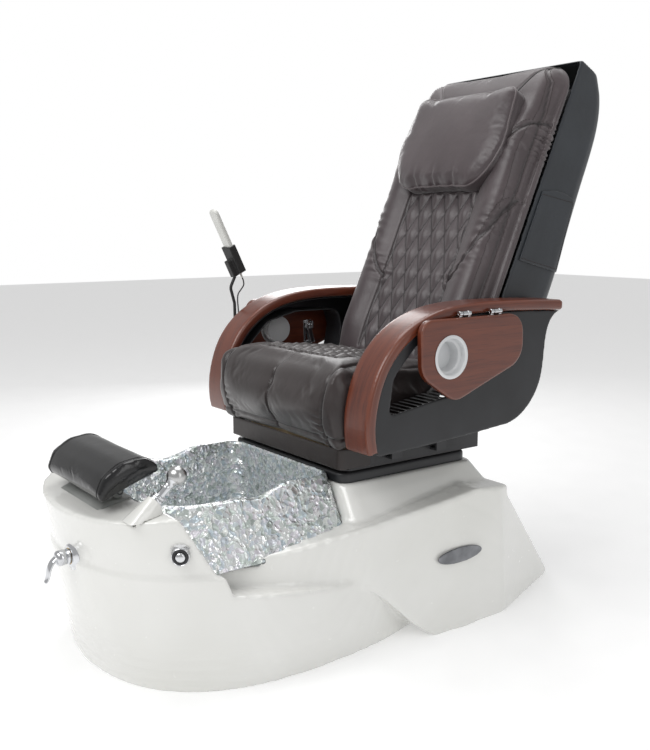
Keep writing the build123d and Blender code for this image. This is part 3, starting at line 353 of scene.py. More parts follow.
# %% [markdown]
# Leathers. The upholstery is a warm grey-brown hide whose raised folds catch a cool,
# slightly purple light; the apron is darker, the back is a blue-black leatherette and the footrest is
# nearly patent. The upholstery is made as two copies of one hide: the seat's copy is painted darker as
# shade, and the copy on the back and the pillow is painted lighter as light. One function makes all
# four, because they differ only in colour, grain and polish.
# %% Leathers
def leather(name, deep, light, rough, grain_scale=620.0, grain=0.35, worn=(0.2, 0.17, 0.17), sheen=0.25, coat=0.0):
    material, tree, shader, place, colour = start_finish(name, deep, light, 7.0)
    hide = use(tree, hide_grain, {"Vector": place, "Scale": grain_scale})
    valley = add(tree, "ShaderNodeMath", {0: hide["Valley"], 1: 0.35}, operation="MULTIPLY").outputs["Value"]
    pored = blend_colour(tree, valley, colour, tuple(v * 0.45 for v in deep))
    rubbed = use(tree, worn_edges, {"Start": 0.52, "End": 0.66})["Mask"]
    polish = add(tree, "ShaderNodeMath", {0: rubbed, 1: 0.35}, operation="MULTIPLY").outputs["Value"]
    polished = blend_colour(tree, polish, pored, worn)
    # The crease attribute darkens the colour in seams and quilting creases: this is painted shade.
    crease = add(tree, "ShaderNodeAttribute", attribute_name="crease").outputs["Fac"]
    shaded = add(tree, "ShaderNodeMath", {0: crease, 1: 0.8}, operation="MULTIPLY").outputs["Value"]
    tree.links.new(blend_colour(tree, shaded, polished, tuple(v * 0.2 for v in deep)), shader.inputs["Base Color"])
    set_range(tree, shader.inputs["Roughness"], hide["Height"], rough - 0.07, rough + 0.09)
    soft = add(tree, "ShaderNodeTexNoise", {"Vector": place, "Scale": 22.0, "Detail": 4.0}).outputs["Fac"]
    folds = set_bump(tree, shader, soft, 0.25, 0.003)
    set_bump(tree, shader, hide["Height"], grain, 0.0006, folds)
    shader.inputs["Sheen Weight"].default_value = sheen
    shader.inputs["Sheen Roughness"].default_value = 0.45
    shader.inputs["Coat Weight"].default_value = coat
    shader.inputs["Coat Roughness"].default_value = 0.16
    return material


# The seat's copy of the upholstery is painted darker as shade; the back's and pillow's copy is painted lighter as
# light.
seat_leather_painted_shade = leather("seat_leather_painted_shade", (0.021, 0.0145, 0.0140), (0.034, 0.0245, 0.0240), 0.38, worn=(0.09, 0.07, 0.07))
back_leather_painted_light = leather("back_leather_painted_light", (0.048, 0.036, 0.039), (0.074, 0.057, 0.061), 0.40, sheen=0.3)
piping_leather = leather("piping_leather", (0.080, 0.064, 0.067), (0.115, 0.093, 0.098), 0.34, grain=0.2)
dark_leather = leather("apron_leather", (0.016, 0.011, 0.010), (0.026, 0.018, 0.016), 0.47, sheen=0.1)
back_leatherette = leather("back_leatherette", (0.012, 0.015, 0.020), (0.021, 0.026, 0.033), 0.40,
                           grain_scale=900.0, grain=0.22, worn=(0.06, 0.07, 0.085), sheen=0.2)
patent_leather = leather("footrest_leather", (0.0035, 0.0035, 0.004), (0.006, 0.006, 0.007), 0.22,
                         grain_scale=1100.0, grain=0.06, worn=(0.012, 0.012, 0.012), sheen=0.0, coat=0.15)
print("leathers", [m.name for m in (seat_leather_painted_shade, back_leather_painted_light, piping_leather, dark_leather, back_leatherette, patent_leather)])

# %% [markdown]
# The rails and trays are bent and flat board with a cherry stain under satin lacquer. Wood grain runs
# along the board, so the texture can't read plain coordinates on a rail that bends through a right
# angle. Each wooden piece carries an attribute called grain: metres along, across and through the board.
# %% Cherry-stained wood
def stained_wood():
    material, tree, shader, place, colour = start_finish("cherry_wood", (0.085, 0.013, 0.004), (0.145, 0.027, 0.008), 9.0)
    along = add(tree, "ShaderNodeAttribute", attribute_name="grain").outputs["Vector"]
    stretched = add(tree, "ShaderNodeMapping", {"Vector": along, "Scale": (1.6, 26.0, 26.0)}).outputs["Vector"]
    figure = add(tree, "ShaderNodeTexNoise", {"Vector": stretched, "Scale": 2.2, "Detail": 7.0, "Roughness": 0.6,
                                              "Distortion": 0.6}).outputs["Fac"]
    bands = ramp(tree, figure, [(0.32, 0.0), (0.5, 0.55), (0.68, 1.0)])
    figured = blend_colour(tree, bands, (0.060, 0.010, 0.004), (0.175, 0.040, 0.015))
    fine = add(tree, "ShaderNodeMapping", {"Vector": along, "Scale": (14.0, 420.0, 420.0)}).outputs["Vector"]
    streak = add(tree, "ShaderNodeTexNoise", {"Vector": fine, "Scale": 1.0, "Detail": 3.0}).outputs["Fac"]
    pores = ramp(tree, streak, [(0.30, 1.0), (0.44, 0.0)])
    stained = blend_colour(tree, 0.55, colour, figured)
    pore_share = add(tree, "ShaderNodeMath", {0: pores, 1: 0.55}, operation="MULTIPLY").outputs["Value"]
    porous = blend_colour(tree, pore_share, stained, (0.04, 0.008, 0.004))
    rubbed = use(tree, worn_edges, {"Start": 0.51, "End": 0.60})["Mask"]
    thin = add(tree, "ShaderNodeMath", {0: rubbed, 1: 0.4}, operation="MULTIPLY").outputs["Value"]
    tree.links.new(blend_colour(tree, thin, porous, (0.26, 0.08, 0.035)), shader.inputs["Base Color"])
    set_range(tree, shader.inputs["Roughness"], figure, 0.28, 0.40)
    set_bump(tree, shader, streak, 0.12, 0.0004)
    shader.inputs["Coat Weight"].default_value = 0.55
    shader.inputs["Coat Roughness"].default_value = 0.2
    return material


cherry_wood = stained_wood()


# %% [markdown]
# Gelcoat is the glossy white skin of the tub. It is sprayed into a mould, so it is very smooth, with a
# faint pearl in the colour and an orange-peel swell that only shows in reflections. A clear coat over a
# slightly rougher base gives both the soft body tone and the sharp reflections.
# %% White gelcoat
def gelcoat_finish():
    material, tree, shader, place, colour = start_finish("white_gelcoat", (0.73, 0.73, 0.695), (0.80, 0.80, 0.775), 3.0)
    film = use(tree, settled_dust, {"Vector": place, "Amount": 0.10})["Mask"]
    dusty = blend_colour(tree, film, colour, (0.60, 0.59, 0.55))
    flake = add(tree, "ShaderNodeTexVoronoi", {"Vector": place, "Scale": 900.0}).outputs["Distance"]
    pearl = ramp(tree, flake, [(0.05, 1.0), (0.25, 0.0)])
    share = add(tree, "ShaderNodeMath", {0: pearl, 1: 0.22}, operation="MULTIPLY").outputs["Value"]
    tree.links.new(blend_colour(tree, share, dusty, (0.93, 0.93, 0.92)), shader.inputs["Base Color"])
    peel = add(tree, "ShaderNodeTexNoise", {"Vector": place, "Scale": 55.0, "Detail": 2.0}).outputs["Fac"]
    set_range(tree, shader.inputs["Roughness"], peel, 0.20, 0.30)
    set_bump(tree, shader, peel, 0.05, 0.001)
    shader.inputs["Coat Weight"].default_value = 0.9
    shader.inputs["Coat Roughness"].default_value = 0.05
    return material


gelcoat = gelcoat_finish()


# %% [markdown]
# The bowl is clear resin over crumpled silver foil. The foil shows as small facets that each mirror
# another part of the room, with a hint of green, pink and blue where the light splits. Voronoi cells,
# pushed about by noise, make the facets. A hash of each cell tints it, partly with the foil's own green,
# pink and blue and partly with a painted reflection from dark to light, and turns some cells near white
# as a painted glint. The resin is the coat on top.
# %% Crystal over foil
def crystal_finish():
    material, tree, shader, place, colour = start_finish("crystal_foil", (0.58, 0.61, 0.60), (0.80, 0.82, 0.83), 11.0)
    swirl = add(tree, "ShaderNodeTexNoise", {"Vector": place, "Scale": 26.0, "Detail": 3.0}).outputs["Color"]
    push = add(tree, "ShaderNodeVectorMath", {0: swirl, 1: (0.035, 0.035, 0.035)}, operation="MULTIPLY")
    moved = add(tree, "ShaderNodeVectorMath", {0: place, 1: push.outputs["Vector"]}, operation="ADD").outputs["Vector"]
    facets = add(tree, "ShaderNodeTexVoronoi", {"Vector": moved, "Scale": 95.0}, feature="F1")
    ridges = add(tree, "ShaderNodeTexVoronoi", {"Vector": moved, "Scale": 48.0}, feature="SMOOTH_F1")
    hue = add(tree, "ShaderNodeSeparateColor", {"Color": facets.outputs["Color"]}).outputs
    # Each facet's tint mixes the foil's own green, pink and blue with a painted reflection, dark to light.
    tint = ramp(tree, hue["Red"], [(0.0, (0.20, 0.26, 0.23)), (0.25, (0.62, 0.72, 0.66)), (0.5, (0.80, 0.74, 0.83)),
                                   (0.75, (0.42, 0.55, 0.64)), (1.0, (0.88, 0.90, 0.84))])
    shade = blend_colour(tree, 0.62, colour, tint)
    # A painted glint: some facets are turned near white.
    painted_glint = ramp(tree, hue["Green"], [(0.72, 0.0), (0.95, 1.0)])
    tree.links.new(blend_colour(tree, painted_glint, shade, (0.93, 0.94, 0.94)), shader.inputs["Base Color"])
    set_range(tree, shader.inputs["Roughness"], hue["Blue"], 0.12, 0.34)
    set_range(tree, shader.inputs["Metallic"], hue["Green"], 0.35, 0.85)
    broad = set_bump(tree, shader, ridges.outputs["Distance"], 0.8, 0.006)
    set_bump(tree, shader, facets.outputs["Distance"], 0.8, 0.003, broad)
    shader.inputs["Coat Weight"].default_value = 1.0
    shader.inputs["Coat Roughness"].default_value = 0.03
    return material


crystal = crystal_finish()


# %% [markdown]
# Plastics and rubber differ from each other in the mould's texture: a satin moulding has a fine even
# spark, rubber a duller one. Metals differ in polish. Chrome is a mirror with a few wipe marks; satin
# chrome, ground bar and painted steel are the same mirror with more and more spread.
# %% Plastics and metals
def moulded(name, deep, light, rough, spark=0.15, spark_scale=1500.0, coat=0.0, dust=0.12):
    material, tree, shader, place, colour = start_finish(name, deep, light, 8.0)
    film = use(tree, settled_dust, {"Vector": place, "Amount": dust})["Mask"]
    dusty = blend_colour(tree, film, colour, (0.34, 0.33, 0.31))
    edge = use(tree, worn_edges, {"Start": 0.53, "End": 0.65})["Mask"]
    share = add(tree, "ShaderNodeMath", {0: edge, 1: 0.35}, operation="MULTIPLY").outputs["Value"]
    pale = tuple(min(1.0, v * 2.2 + 0.02) for v in light)
    tree.links.new(blend_colour(tree, share, dusty, pale), shader.inputs["Base Color"])
    grit = add(tree, "ShaderNodeTexNoise", {"Vector": place, "Scale": spark_scale, "Detail": 1.0}).outputs["Fac"]
    set_range(tree, shader.inputs["Roughness"], grit, rough - 0.06, rough + 0.08)
    set_bump(tree, shader, grit, spark, 0.0002)
    shader.inputs["Coat Weight"].default_value = coat
    shader.inputs["Coat Roughness"].default_value = 0.1
    return material


def metal(name, deep, light, rough, streak=(60.0, 60.0, 60.0), marks=0.06):
    material, tree, shader, place, colour = start_finish(name, deep, light, 25.0)
    drawn = add(tree, "ShaderNodeMapping", {"Vector": place, "Scale": streak}).outputs["Vector"]
    wipe = add(tree, "ShaderNodeTexNoise", {"Vector": drawn, "Scale": 3.0, "Detail": 5.0}).outputs["Fac"]
    set_range(tree, shader.inputs["Roughness"], wipe, max(0.02, rough - marks), rough + marks)
    set_bump(tree, shader, wipe, 0.04, 0.0003)
    shader.inputs["Metallic"].default_value = 1.0
    return material


black_moulding = moulded("black_moulding", (0.010, 0.0105, 0.012), (0.019, 0.020, 0.023), 0.36)
black_rubber = moulded("black_rubber", (0.010, 0.010, 0.010), (0.018, 0.018, 0.018), 0.55, 0.3, 900.0)
foot_rubber = moulded("foot_rubber", (0.03, 0.03, 0.03), (0.05, 0.05, 0.05), 0.7, 0.4, 700.0)
grey_moulding = moulded("grey_moulding", (0.30, 0.31, 0.31), (0.42, 0.43, 0.43), 0.42)
pipe_grey = moulded("pipe_grey", (0.26, 0.26, 0.24), (0.38, 0.38, 0.36), 0.5)
off_white = moulded("off_white_moulding", (0.60, 0.60, 0.57), (0.70, 0.70, 0.67), 0.30, 0.08, coat=0.3, dust=0.05)
silver_paint = moulded("silver_paint", (0.56, 0.57, 0.58), (0.70, 0.71, 0.72), 0.30, 0.10, 2400.0, coat=0.4)
grey_cast = moulded("grey_cast", (0.20, 0.21, 0.20), (0.31, 0.32, 0.31), 0.45, 0.35, 500.0)
powder_coat = moulded("powder_coat", (0.018, 0.018, 0.020), (0.032, 0.032, 0.035), 0.48, 0.5, 420.0)
plywood = moulded("plywood", (0.40, 0.27, 0.15), (0.55, 0.41, 0.26), 0.6, 0.3, 260.0)
chrome = metal("chrome", (0.60, 0.61, 0.63), (0.72, 0.73, 0.75), 0.07, marks=0.04)
satin_chrome = metal("satin_chrome", (0.42, 0.42, 0.42), (0.56, 0.56, 0.56), 0.27, (900.0, 60.0, 60.0))
ground_steel = metal("ground_steel", (0.5, 0.5, 0.51), (0.66, 0.66, 0.67), 0.22, (900.0, 20.0, 900.0))
brass = metal("brass", (0.55, 0.38, 0.15), (0.72, 0.54, 0.26), 0.28)
badge_metal = metal("badge_metal", (0.16, 0.165, 0.175), (0.27, 0.275, 0.29), 0.30, (900.0, 30.0, 900.0))
thread = moulded("thread", (0.014, 0.010, 0.010), (0.026, 0.019, 0.018), 0.6, 0.4, 1800.0, dust=0.0)

finish_of = {
    "gelcoat": gelcoat, "crystal": crystal, "frame_steel": powder_coat, "rubber_foot": foot_rubber,
    "black_plastic": black_moulding, "ground_steel": ground_steel, "chrome": chrome, "brass": brass,
    "pipe": pipe_grey, "grey_plastic": grey_moulding, "badge": badge_metal, "grey_cast": grey_cast,
    "satin_chrome": satin_chrome, "gloss_black": patent_leather, "leather_brown": seat_leather_painted_shade,
    "leather_dark": dark_leather, "wood": cherry_wood, "silver": silver_paint, "remote_shell": off_white,
    "black_rubber": black_rubber, "back_skin": back_leatherette, "plywood": plywood,
}
slot_of = {part["node"]: part["material_slot"] for part in frame["record"]["subparts"]}
body_of = {member: body for body, members in frame["record"]["behaviour"]["bodies"].items() for member in members}
for name, node in nodes.items():
    node.data.materials.clear()
    node.data.materials.append(finish_of[slot_of[name]])
lead.data.materials.append(black_rubber)
showroom_floor = moulded("showroom_floor", (0.80, 0.80, 0.80), (0.84, 0.84, 0.84), 0.5, 0.02, 300.0, dust=0.0)
glow = showroom_floor.node_tree.nodes["Principled BSDF"]
glow.inputs["Emission Color"].default_value = (1, 1, 1, 1)
glow.inputs["Emission Strength"].default_value = 0.26
floor.data.materials.append(showroom_floor)
print("finishes on", len(nodes), "nodes")


# %% [markdown]
# Every new piece ends the same way: its mesh is written, shaded smooth except at hard edges, given a
# finish, the nodes it stands for are hidden, and it is set to ride on its body. Doing it in one
# place keeps the pieces honest: an object always sits at the origin with its place in its mesh.
# %% Finish a piece
def finish_piece(name, form, material, body, stands_for=(), hard_angle=40):
    """Turn a bmesh into a finished piece that rides on a body."""
    mesh = bpy.data.meshes.new(name)
    form.to_mesh(mesh)
    form.free()
    return finish_mesh(name, mesh, material, body, stands_for, hard_angle)


def finish_mesh(name, mesh, material, body, stands_for=(), hard_angle=40):
    mesh.shade_smooth()
    if hard_angle:
        mesh.set_sharp_from_angle(angle=radians(hard_angle))
    mesh.materials.clear()
    mesh.materials.append(material)
    piece = bpy.data.objects.new(name, mesh)
    scene.collection.objects.link(piece)
    if stands_for:
        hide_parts(*stands_for)
    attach(piece, body)
    print(f"{name}: {len(mesh.polygons)} faces on {body}")
    return piece


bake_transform(lead)

# %% [markdown]
# Moulded covers arrive from design with sharp edges, and no moulding has those. The cure used here is a
# voxel remesh of a merged copy, which turns the shape into an even skin of small quads, then a little
# smoothing, which rounds every edge by about a voxel. For a hollow cover the inner skin, which nobody
# sees, is dropped: a face is inner if rays up and to all four sides hit the cover again.
# %% Soften a moulded cover
def merged_copy(node):
    """A copy of a node's loose triangles, joined up."""
    form = bmesh.new()
    form.from_mesh(nodes[node].data)
    bmesh.ops.remove_doubles(form, verts=form.verts, dist=0.00002)
    return form


def with_modifier(form, kind, **options):
    """Run a bmesh through one modifier and return the resulting bmesh."""
    mesh = bpy.data.meshes.new("work")
    form.to_mesh(mesh)
    form.free()
    obj = bpy.data.objects.new("work", mesh)
    scene.collection.objects.link(obj)
    modifier = obj.modifiers.new("work", kind)
    for key, value in options.items():
        setattr(modifier, key, value)
    taken = taken_mesh(obj, "work")
    made = bmesh.new()
    made.from_mesh(taken)
    bpy.data.meshes.remove(taken)
    return made


def drop_inner_skin(form, ways, far=3.0):
    """Delete the faces from which each of these ways out is shut."""
    tree = BVHTree.FromBMesh(form)
    inner = []
    for face in form.faces:
        start = face.calc_center_median() + face.normal * 0.002
        if all(tree.ray_cast(start, way, far)[0] for way in ways):
            inner.append(face)
    bmesh.ops.delete(form, geom=inner, context="FACES")


def relax(form, rounds, strength=0.5):
    """Smooth the inside vertices of a mesh, and leave its open rims alone."""
    inside = [vert for vert in form.verts if not vert.is_boundary]
    for _ in range(rounds):
        bmesh.ops.smooth_vert(form, verts=inside, factor=strength, use_axis_x=True, use_axis_y=True, use_axis_z=True)


all_ways = [Vector(way) for way in ((0, 0, 1), (1, 0, 0), (-1, 0, 0), (0, 1, 0), (0, -1, 0))]


def softened(node, voxel, rounds, ways=()):
    """A rounded copy of a node; for a hollow cover, ways lists how light can't get at its inside."""
    form = with_modifier(merged_copy(node), "REMESH", mode="VOXEL", voxel_size=voxel)
    if ways:
        drop_inner_skin(form, ways)
    relax(form, rounds)
    return form


# %% [markdown]
# The tub is laid up in a mould, so its deck edge, ledge and crease are all rounded. Low on the front the
# mould leaves a few shallow waves, one above the other, which fade out above ankle height and towards
# the back. They are pushed out along each vertex's normal.
# %% The tub
tub = softened("base_shell", 0.0052, 5, all_ways)
tub.normal_update()
wave_top, wave_step, wave_depth = 0.135, 0.024, 0.0011
for vert in tub.verts:
    side = max(0.0, 1 - abs(vert.normal.z) * 1.6)
    low_share = max(0.0, 1 - vert.co.z / wave_top) * min(1.0, vert.co.z / 0.02)
    front_share = min(1.0, max(0.0, (-0.15 - vert.co.y) / 0.35))
    vert.co += vert.normal * wave_depth * side * low_share * front_share * sin(2 * pi * vert.co.z / wave_step)
finish_piece("tub_skin", tub, gelcoat, "base", ["base_shell"], hard_angle=0)
finish_piece("sprayer_pedestal", softened("spray_pedestal", 0.0015, 3), gelcoat, "base",
             ["spray_pedestal"], hard_angle=0)

# %% [markdown]
# The bowl is one thick casting. Its walls are crumpled a little for real, because foil under resin moves
# the outline as well as the shading, and its rim is rounded like poured glass.
# %% The crystal bowl
bowl = softened("foot_bowl", 0.0048, 3)
bowl.normal_update()
for vert in bowl.verts:
    crumple = noise.noise(vert.co * 55) + 0.6 * noise.noise(vert.co * 120)
    vert.co += vert.normal * 0.0011 * crumple
finish_piece("crystal_bowl", bowl, crystal, "base", ["foot_bowl"], hard_angle=0)

bowl_low, bowl_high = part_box("foot_bowl")
drain_low, drain_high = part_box("drain_fitting")


def turned(profile, steps=48):
    """Spin a profile of (radius, height) points about Z into a closed, smooth turning."""
    form = bmesh.new()
    verts = [form.verts.new((radius, 0, height)) for radius, height in profile]
    for a, b in zip(verts, verts[1:]):
        form.edges.new((a, b))
    bmesh.ops.spin(form, geom=form.verts[:] + form.edges[:], axis=(0, 0, 1), cent=(0, 0, 0), angle=2 * pi,
                   steps=steps, use_merge=True)
    bmesh.ops.remove_doubles(form, verts=form.verts, dist=0.00001)
    bmesh.ops.recalc_face_normals(form, faces=form.faces)
    return form


def axis_matrix(place, axis, up=(0, 0, 1)):
    """A matrix that puts local Z on an axis and local X as near as it can to up."""
    z = Vector(axis).normalized()
    x = (Vector(up) - Vector(up).dot(z) * z).normalized()
    y = z.cross(x)
    turn = Matrix((x, y, z)).transposed().to_4x4()
    return Matrix.Translation(Vector(place)) @ turn


# %% [markdown]
# Chrome fittings are turned on a lathe, and spinning a profile is the same act. The tap has a coned plate,
# a ringed neck, a turning cap and a lever whose blade comes forward and hooks down.
# %% The tap
tap = axis_matrix(joints["mixer_turn"]["pos_m"], joints["mixer_turn"]["axis"])
plate = turned([(0.0190, 0.0), (0.0345, 0.0), (0.0352, 0.0022), (0.0330, 0.0048), (0.0262, 0.0066),
                (0.0240, 0.0100), (0.0212, 0.0112), (0.0190, 0.0112), (0.0190, 0.0)])
bmesh.ops.transform(plate, matrix=tap @ Matrix.Translation((0, 0, -0.001)), verts=plate.verts)
finish_piece("tap_plate", plate, chrome, "base", ["mixer_plate"], hard_angle=50)
cap = turned([(0.0, 0.0100), (0.0165, 0.0100), (0.0178, 0.0115), (0.0178, 0.0150), (0.0165, 0.0160), (0.0160, 0.0182),
              (0.0174, 0.0196), (0.0178, 0.0300), (0.0170, 0.0365), (0.0140, 0.0405), (0.0080, 0.0425), (0.0, 0.0430)])
bmesh.ops.transform(cap, matrix=tap, verts=cap.verts)
finish_piece("tap_cap", cap, chrome, "mixer_hub", ["mixer_hub"], hard_angle=50)
print("tap at", [round(v, 3) for v in tap.translation])


def swept(sections, closed=True):
    """Bridge a row of rings, each a list of points, into a capped form."""
    form = bmesh.new()
    rings = []
    for ring in sections:
        verts = [form.verts.new(point) for point in ring]
        rings.append([form.edges.new((a, b)) for a, b in zip(verts, verts[1:] + verts[:1])])
    for lower, upper in zip(rings, rings[1:]):
        bmesh.ops.bridge_loops(form, edges=lower + upper)
    for ring in (rings[0], rings[-1]):
        bmesh.ops.contextual_create(form, geom=ring)
    bmesh.ops.recalc_face_normals(form, faces=form.faces)
    return form


def oval_ring(centre, across, upward, half_width, half_height, count=20, power=2.4):
    """A superellipse ring, blunter than an ellipse, in the plane of two directions."""
    ring = []
    for i in range(count):
        turn = 2 * pi * i / count
        c, s = cos(turn), sin(turn)
        a = half_width * abs(c) ** (2 / power) * (1 if c > 0 else -1)
        b = half_height * abs(s) ** (2 / power) * (1 if s > 0 else -1)
        ring.append(Vector(centre) + Vector(across) * a + Vector(upward) * b)
    return ring


# The blade's stations, in the tap's own axes: height X, distance out Z, half width, half thickness.
blade_stations = [(0.006, 0.026, 0.0085, 0.0050), (0.002, 0.041, 0.0098, 0.0055), (-0.008, 0.052, 0.0105, 0.0050),
                  (-0.022, 0.058, 0.0105, 0.0042), (-0.036, 0.060, 0.0100, 0.0036), (-0.046, 0.064, 0.0088, 0.0032),
                  (-0.050, 0.068, 0.0070, 0.0024)]
blade_rings = []
for i, (high, out, wide, thick) in enumerate(blade_stations):
    before, after = blade_stations[max(i - 1, 0)], blade_stations[min(i + 1, len(blade_stations) - 1)]
    along = Vector((after[0] - before[0], 0, after[1] - before[1])).normalized()
    blade_rings.append(oval_ring((high, 0, out), (0, 1, 0), Vector((0, 1, 0)).cross(along), wide, thick))
blade = swept(blade_rings)
bmesh.ops.transform(blade, matrix=tap, verts=blade.verts)
blade = with_modifier(blade, "SUBSURF", levels=2, render_levels=2)
finish_piece("tap_lever", blade, chrome, "mixer_lever", ["mixer_lever"], hard_angle=0)

# %% [markdown]
# The pull-out sprayer: a chrome neck with a ringed collar, and a satin ball cut flat for the spray plate.
# The ball's own box gives its centre, because the flat looks along the axis and leaves the ball's top,
# front and side whole.
# %% The sprayer
ball_radius, ball_height = 0.022, 0.116
spray_axis = Vector(joints["sprayer_pull"]["axis"])
spray_low, spray_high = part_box("spray_head")
ball_centre = spray_high - Vector((ball_radius, ball_radius, ball_radius))
sprayer = axis_matrix(ball_centre - ball_height * spray_axis, spray_axis)
neck_form = turned([(0.0, 0.0), (0.0090, 0.0), (0.0090, 0.0780), (0.0100, 0.0800), (0.0100, 0.0840), (0.0093, 0.0855),
                    (0.0096, 0.0900), (0.0124, 0.0970), (0.0158, 0.1000), (0.0162, 0.1012), (0.0130, 0.1024),
                    (0.0, 0.1024)])
bmesh.ops.transform(neck_form, matrix=sprayer, verts=neck_form.verts)
finish_piece("sprayer_neck", neck_form, chrome, "sprayer", hard_angle=50)
ball_profile = [(ball_radius * sin(radians(turn)), ball_height - ball_radius * cos(radians(turn)))
                for turn in range(36, 151, 6)]
ball_top = ball_profile[-1][1]
ball_profile = [(0.0, ball_profile[0][1])] + ball_profile + [(0.0100, ball_top), (0.0098, ball_top - 0.001),
                                                             (0.0, ball_top - 0.001)]
ball_form = turned(ball_profile)
bmesh.ops.transform(ball_form, matrix=sprayer, verts=ball_form.verts)
finish_piece("sprayer_ball", ball_form, satin_chrome, "sprayer", ["spray_head"], hard_angle=50)
collar = turned([(0.0094, 0.0440), (0.0152, 0.0440), (0.0160, 0.0455), (0.0160, 0.0505), (0.0147, 0.0520),
                 (0.0141, 0.0535), (0.0151, 0.0550), (0.0151, 0.0590), (0.0138, 0.0602), (0.0094, 0.0602),
                 (0.0094, 0.0440)])
bmesh.ops.transform(collar, matrix=sprayer, verts=collar.verts)
finish_piece("sprayer_collar", collar, chrome, "base", ["spray_collar"], hard_angle=50)
print("ball centre", [round(v, 3) for v in ball_centre])

# %% [markdown]
# The cups are silver mouldings with a rolled ring, a wide mouth and a narrower well, so that cans and
# mugs both sit. One profile, spun, makes both; the second is turned round to face the other way.
# %% The cups
for side, sign in (("left", 1), ("right", -1)):
    low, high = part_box(f"cup_{side}")
    face = high.x if sign > 0 else low.x
    centre = Vector((face, (low.y + high.y) / 2, (low.z + high.z) / 2))
    cup = turned([(0.0, -0.0460), (0.0390, -0.0460), (0.0390, -0.0170), (0.0470, -0.0170), (0.0470, -0.0035),
                  (0.0520, -0.0035), (0.0530, -0.0022), (0.0526, -0.0008), (0.0505, 0.0), (0.0465, 0.0),
                  (0.0448, -0.0010), (0.0438, -0.0035), (0.0432, -0.0140), (0.0420, -0.0158), (0.0372, -0.0164),
                  (0.0362, -0.0178), (0.0352, -0.0410), (0.0335, -0.0432), (0.0, -0.0436)], steps=64)
    bmesh.ops.transform(cup, matrix=axis_matrix(centre, (sign, 0, 0)), verts=cup.verts)
    finish_piece(f"cup_{side}_moulding", cup, silver_paint, f"tray_{side}", [f"cup_{side}"], hard_angle=50)

# %% [markdown]
# A rail is several plies bent round a former. Its shape is right already, but the finish needs to know
# which way the grain runs at each vertex. The rail's own middle line gives that: the nearest point on it
# says how far along the vertex is, and the side steps say how far across and through.
# %% Rails and trays
rail_stations = [(-0.126, 0.484), (-0.133, 0.545), (-0.122, 0.612), (-0.100, 0.669), (-0.064, 0.717), (-0.021, 0.752),
                 (0.054, 0.786), (0.141, 0.801), (0.250, 0.805), (0.380, 0.803), (0.516, 0.797)]


def grain_of_rail(point):
    """Metres along, across and through the board for a point of a rail."""
    best, run = None, 0.0
    for (y0, z0), (y1, z1) in zip(rail_stations, rail_stations[1:]):
        a, step = Vector((y0, z0)), Vector((y1 - y0, z1 - z0))
        share = min(1.0, max(0.0, (Vector((point.y, point.z)) - a).dot(step) / step.length_squared))
        off = Vector((point.y, point.z)) - (a + share * step)
        if best is None or off.length < best[0]:
            side = step.x * off.y - step.y * off.x
            best = (off.length, run + share * step.length, off.length * (1 if side > 0 else -1))
        run += step.length
    return (best[1], point.x, best[2])


def write_grain(mesh, grain_at):
    attribute = mesh.attributes.new("grain", "FLOAT_VECTOR", "POINT")
    values = [value for vert in mesh.vertices for value in grain_at(vert.co)]
    attribute.data.foreach_set("vector", values)


for side in ("left", "right"):
    rail = softened(f"arm_rail_{side}", 0.0042, 1)
    piece = finish_piece(f"rail_{side}", rail, cherry_wood, "seat", [f"arm_rail_{side}"], hard_angle=0)
    write_grain(piece.data, grain_of_rail)
    tray = softened(f"tray_{side}", 0.0026, 1)
    piece = finish_piece(f"leaf_{side}", tray, cherry_wood, f"tray_{side}", [f"tray_{side}"], hard_angle=0)
    write_grain(piece.data, lambda point: (point.y, point.z, point.x))

# %% [markdown]
# The arm shells, the slide's cover and the footrest's bracket are plain mouldings and castings: softened
# copies are all they need.
# %% Arm shells and covers
for side in ("left", "right"):
    finish_piece(f"arm_cover_{side}", softened(f"arm_shell_{side}", 0.0028, 2), black_moulding, "seat",
                 [f"arm_shell_{side}"], hard_angle=0)
finish_piece("slide_gaiter", softened("slide_cover", 0.0032, 2), black_moulding, "base",
             ["slide_cover"], hard_angle=0)
finish_piece("footrest_block", softened("footrest_bracket", 0.0016, 2), grey_cast, "base",
             ["footrest_bracket"], hard_angle=0)
finish_piece("apron", softened("seat_skirt", 0.0022, 2), dark_leather, "seat", ["seat_skirt"],
             hard_angle=0)

# %% [markdown]
# A cushion is a bag that its filling pushes outwards until the cover is tight. Blender's cloth can play
# this out: the designed block is remeshed into even quads, given a little too much cover, and blown up
# for twenty frames without gravity. The growth is capped with tanh, so a cushion can't leave its place.
# %% Blow up a cushion
def array_of(items, key, count):
    values = np.empty(len(items) * count)
    items.foreach_get(key, values)
    return values.reshape(-1, count)


def write_places(mesh, places):
    mesh.vertices.foreach_set("co", places.ravel())
    mesh.update()


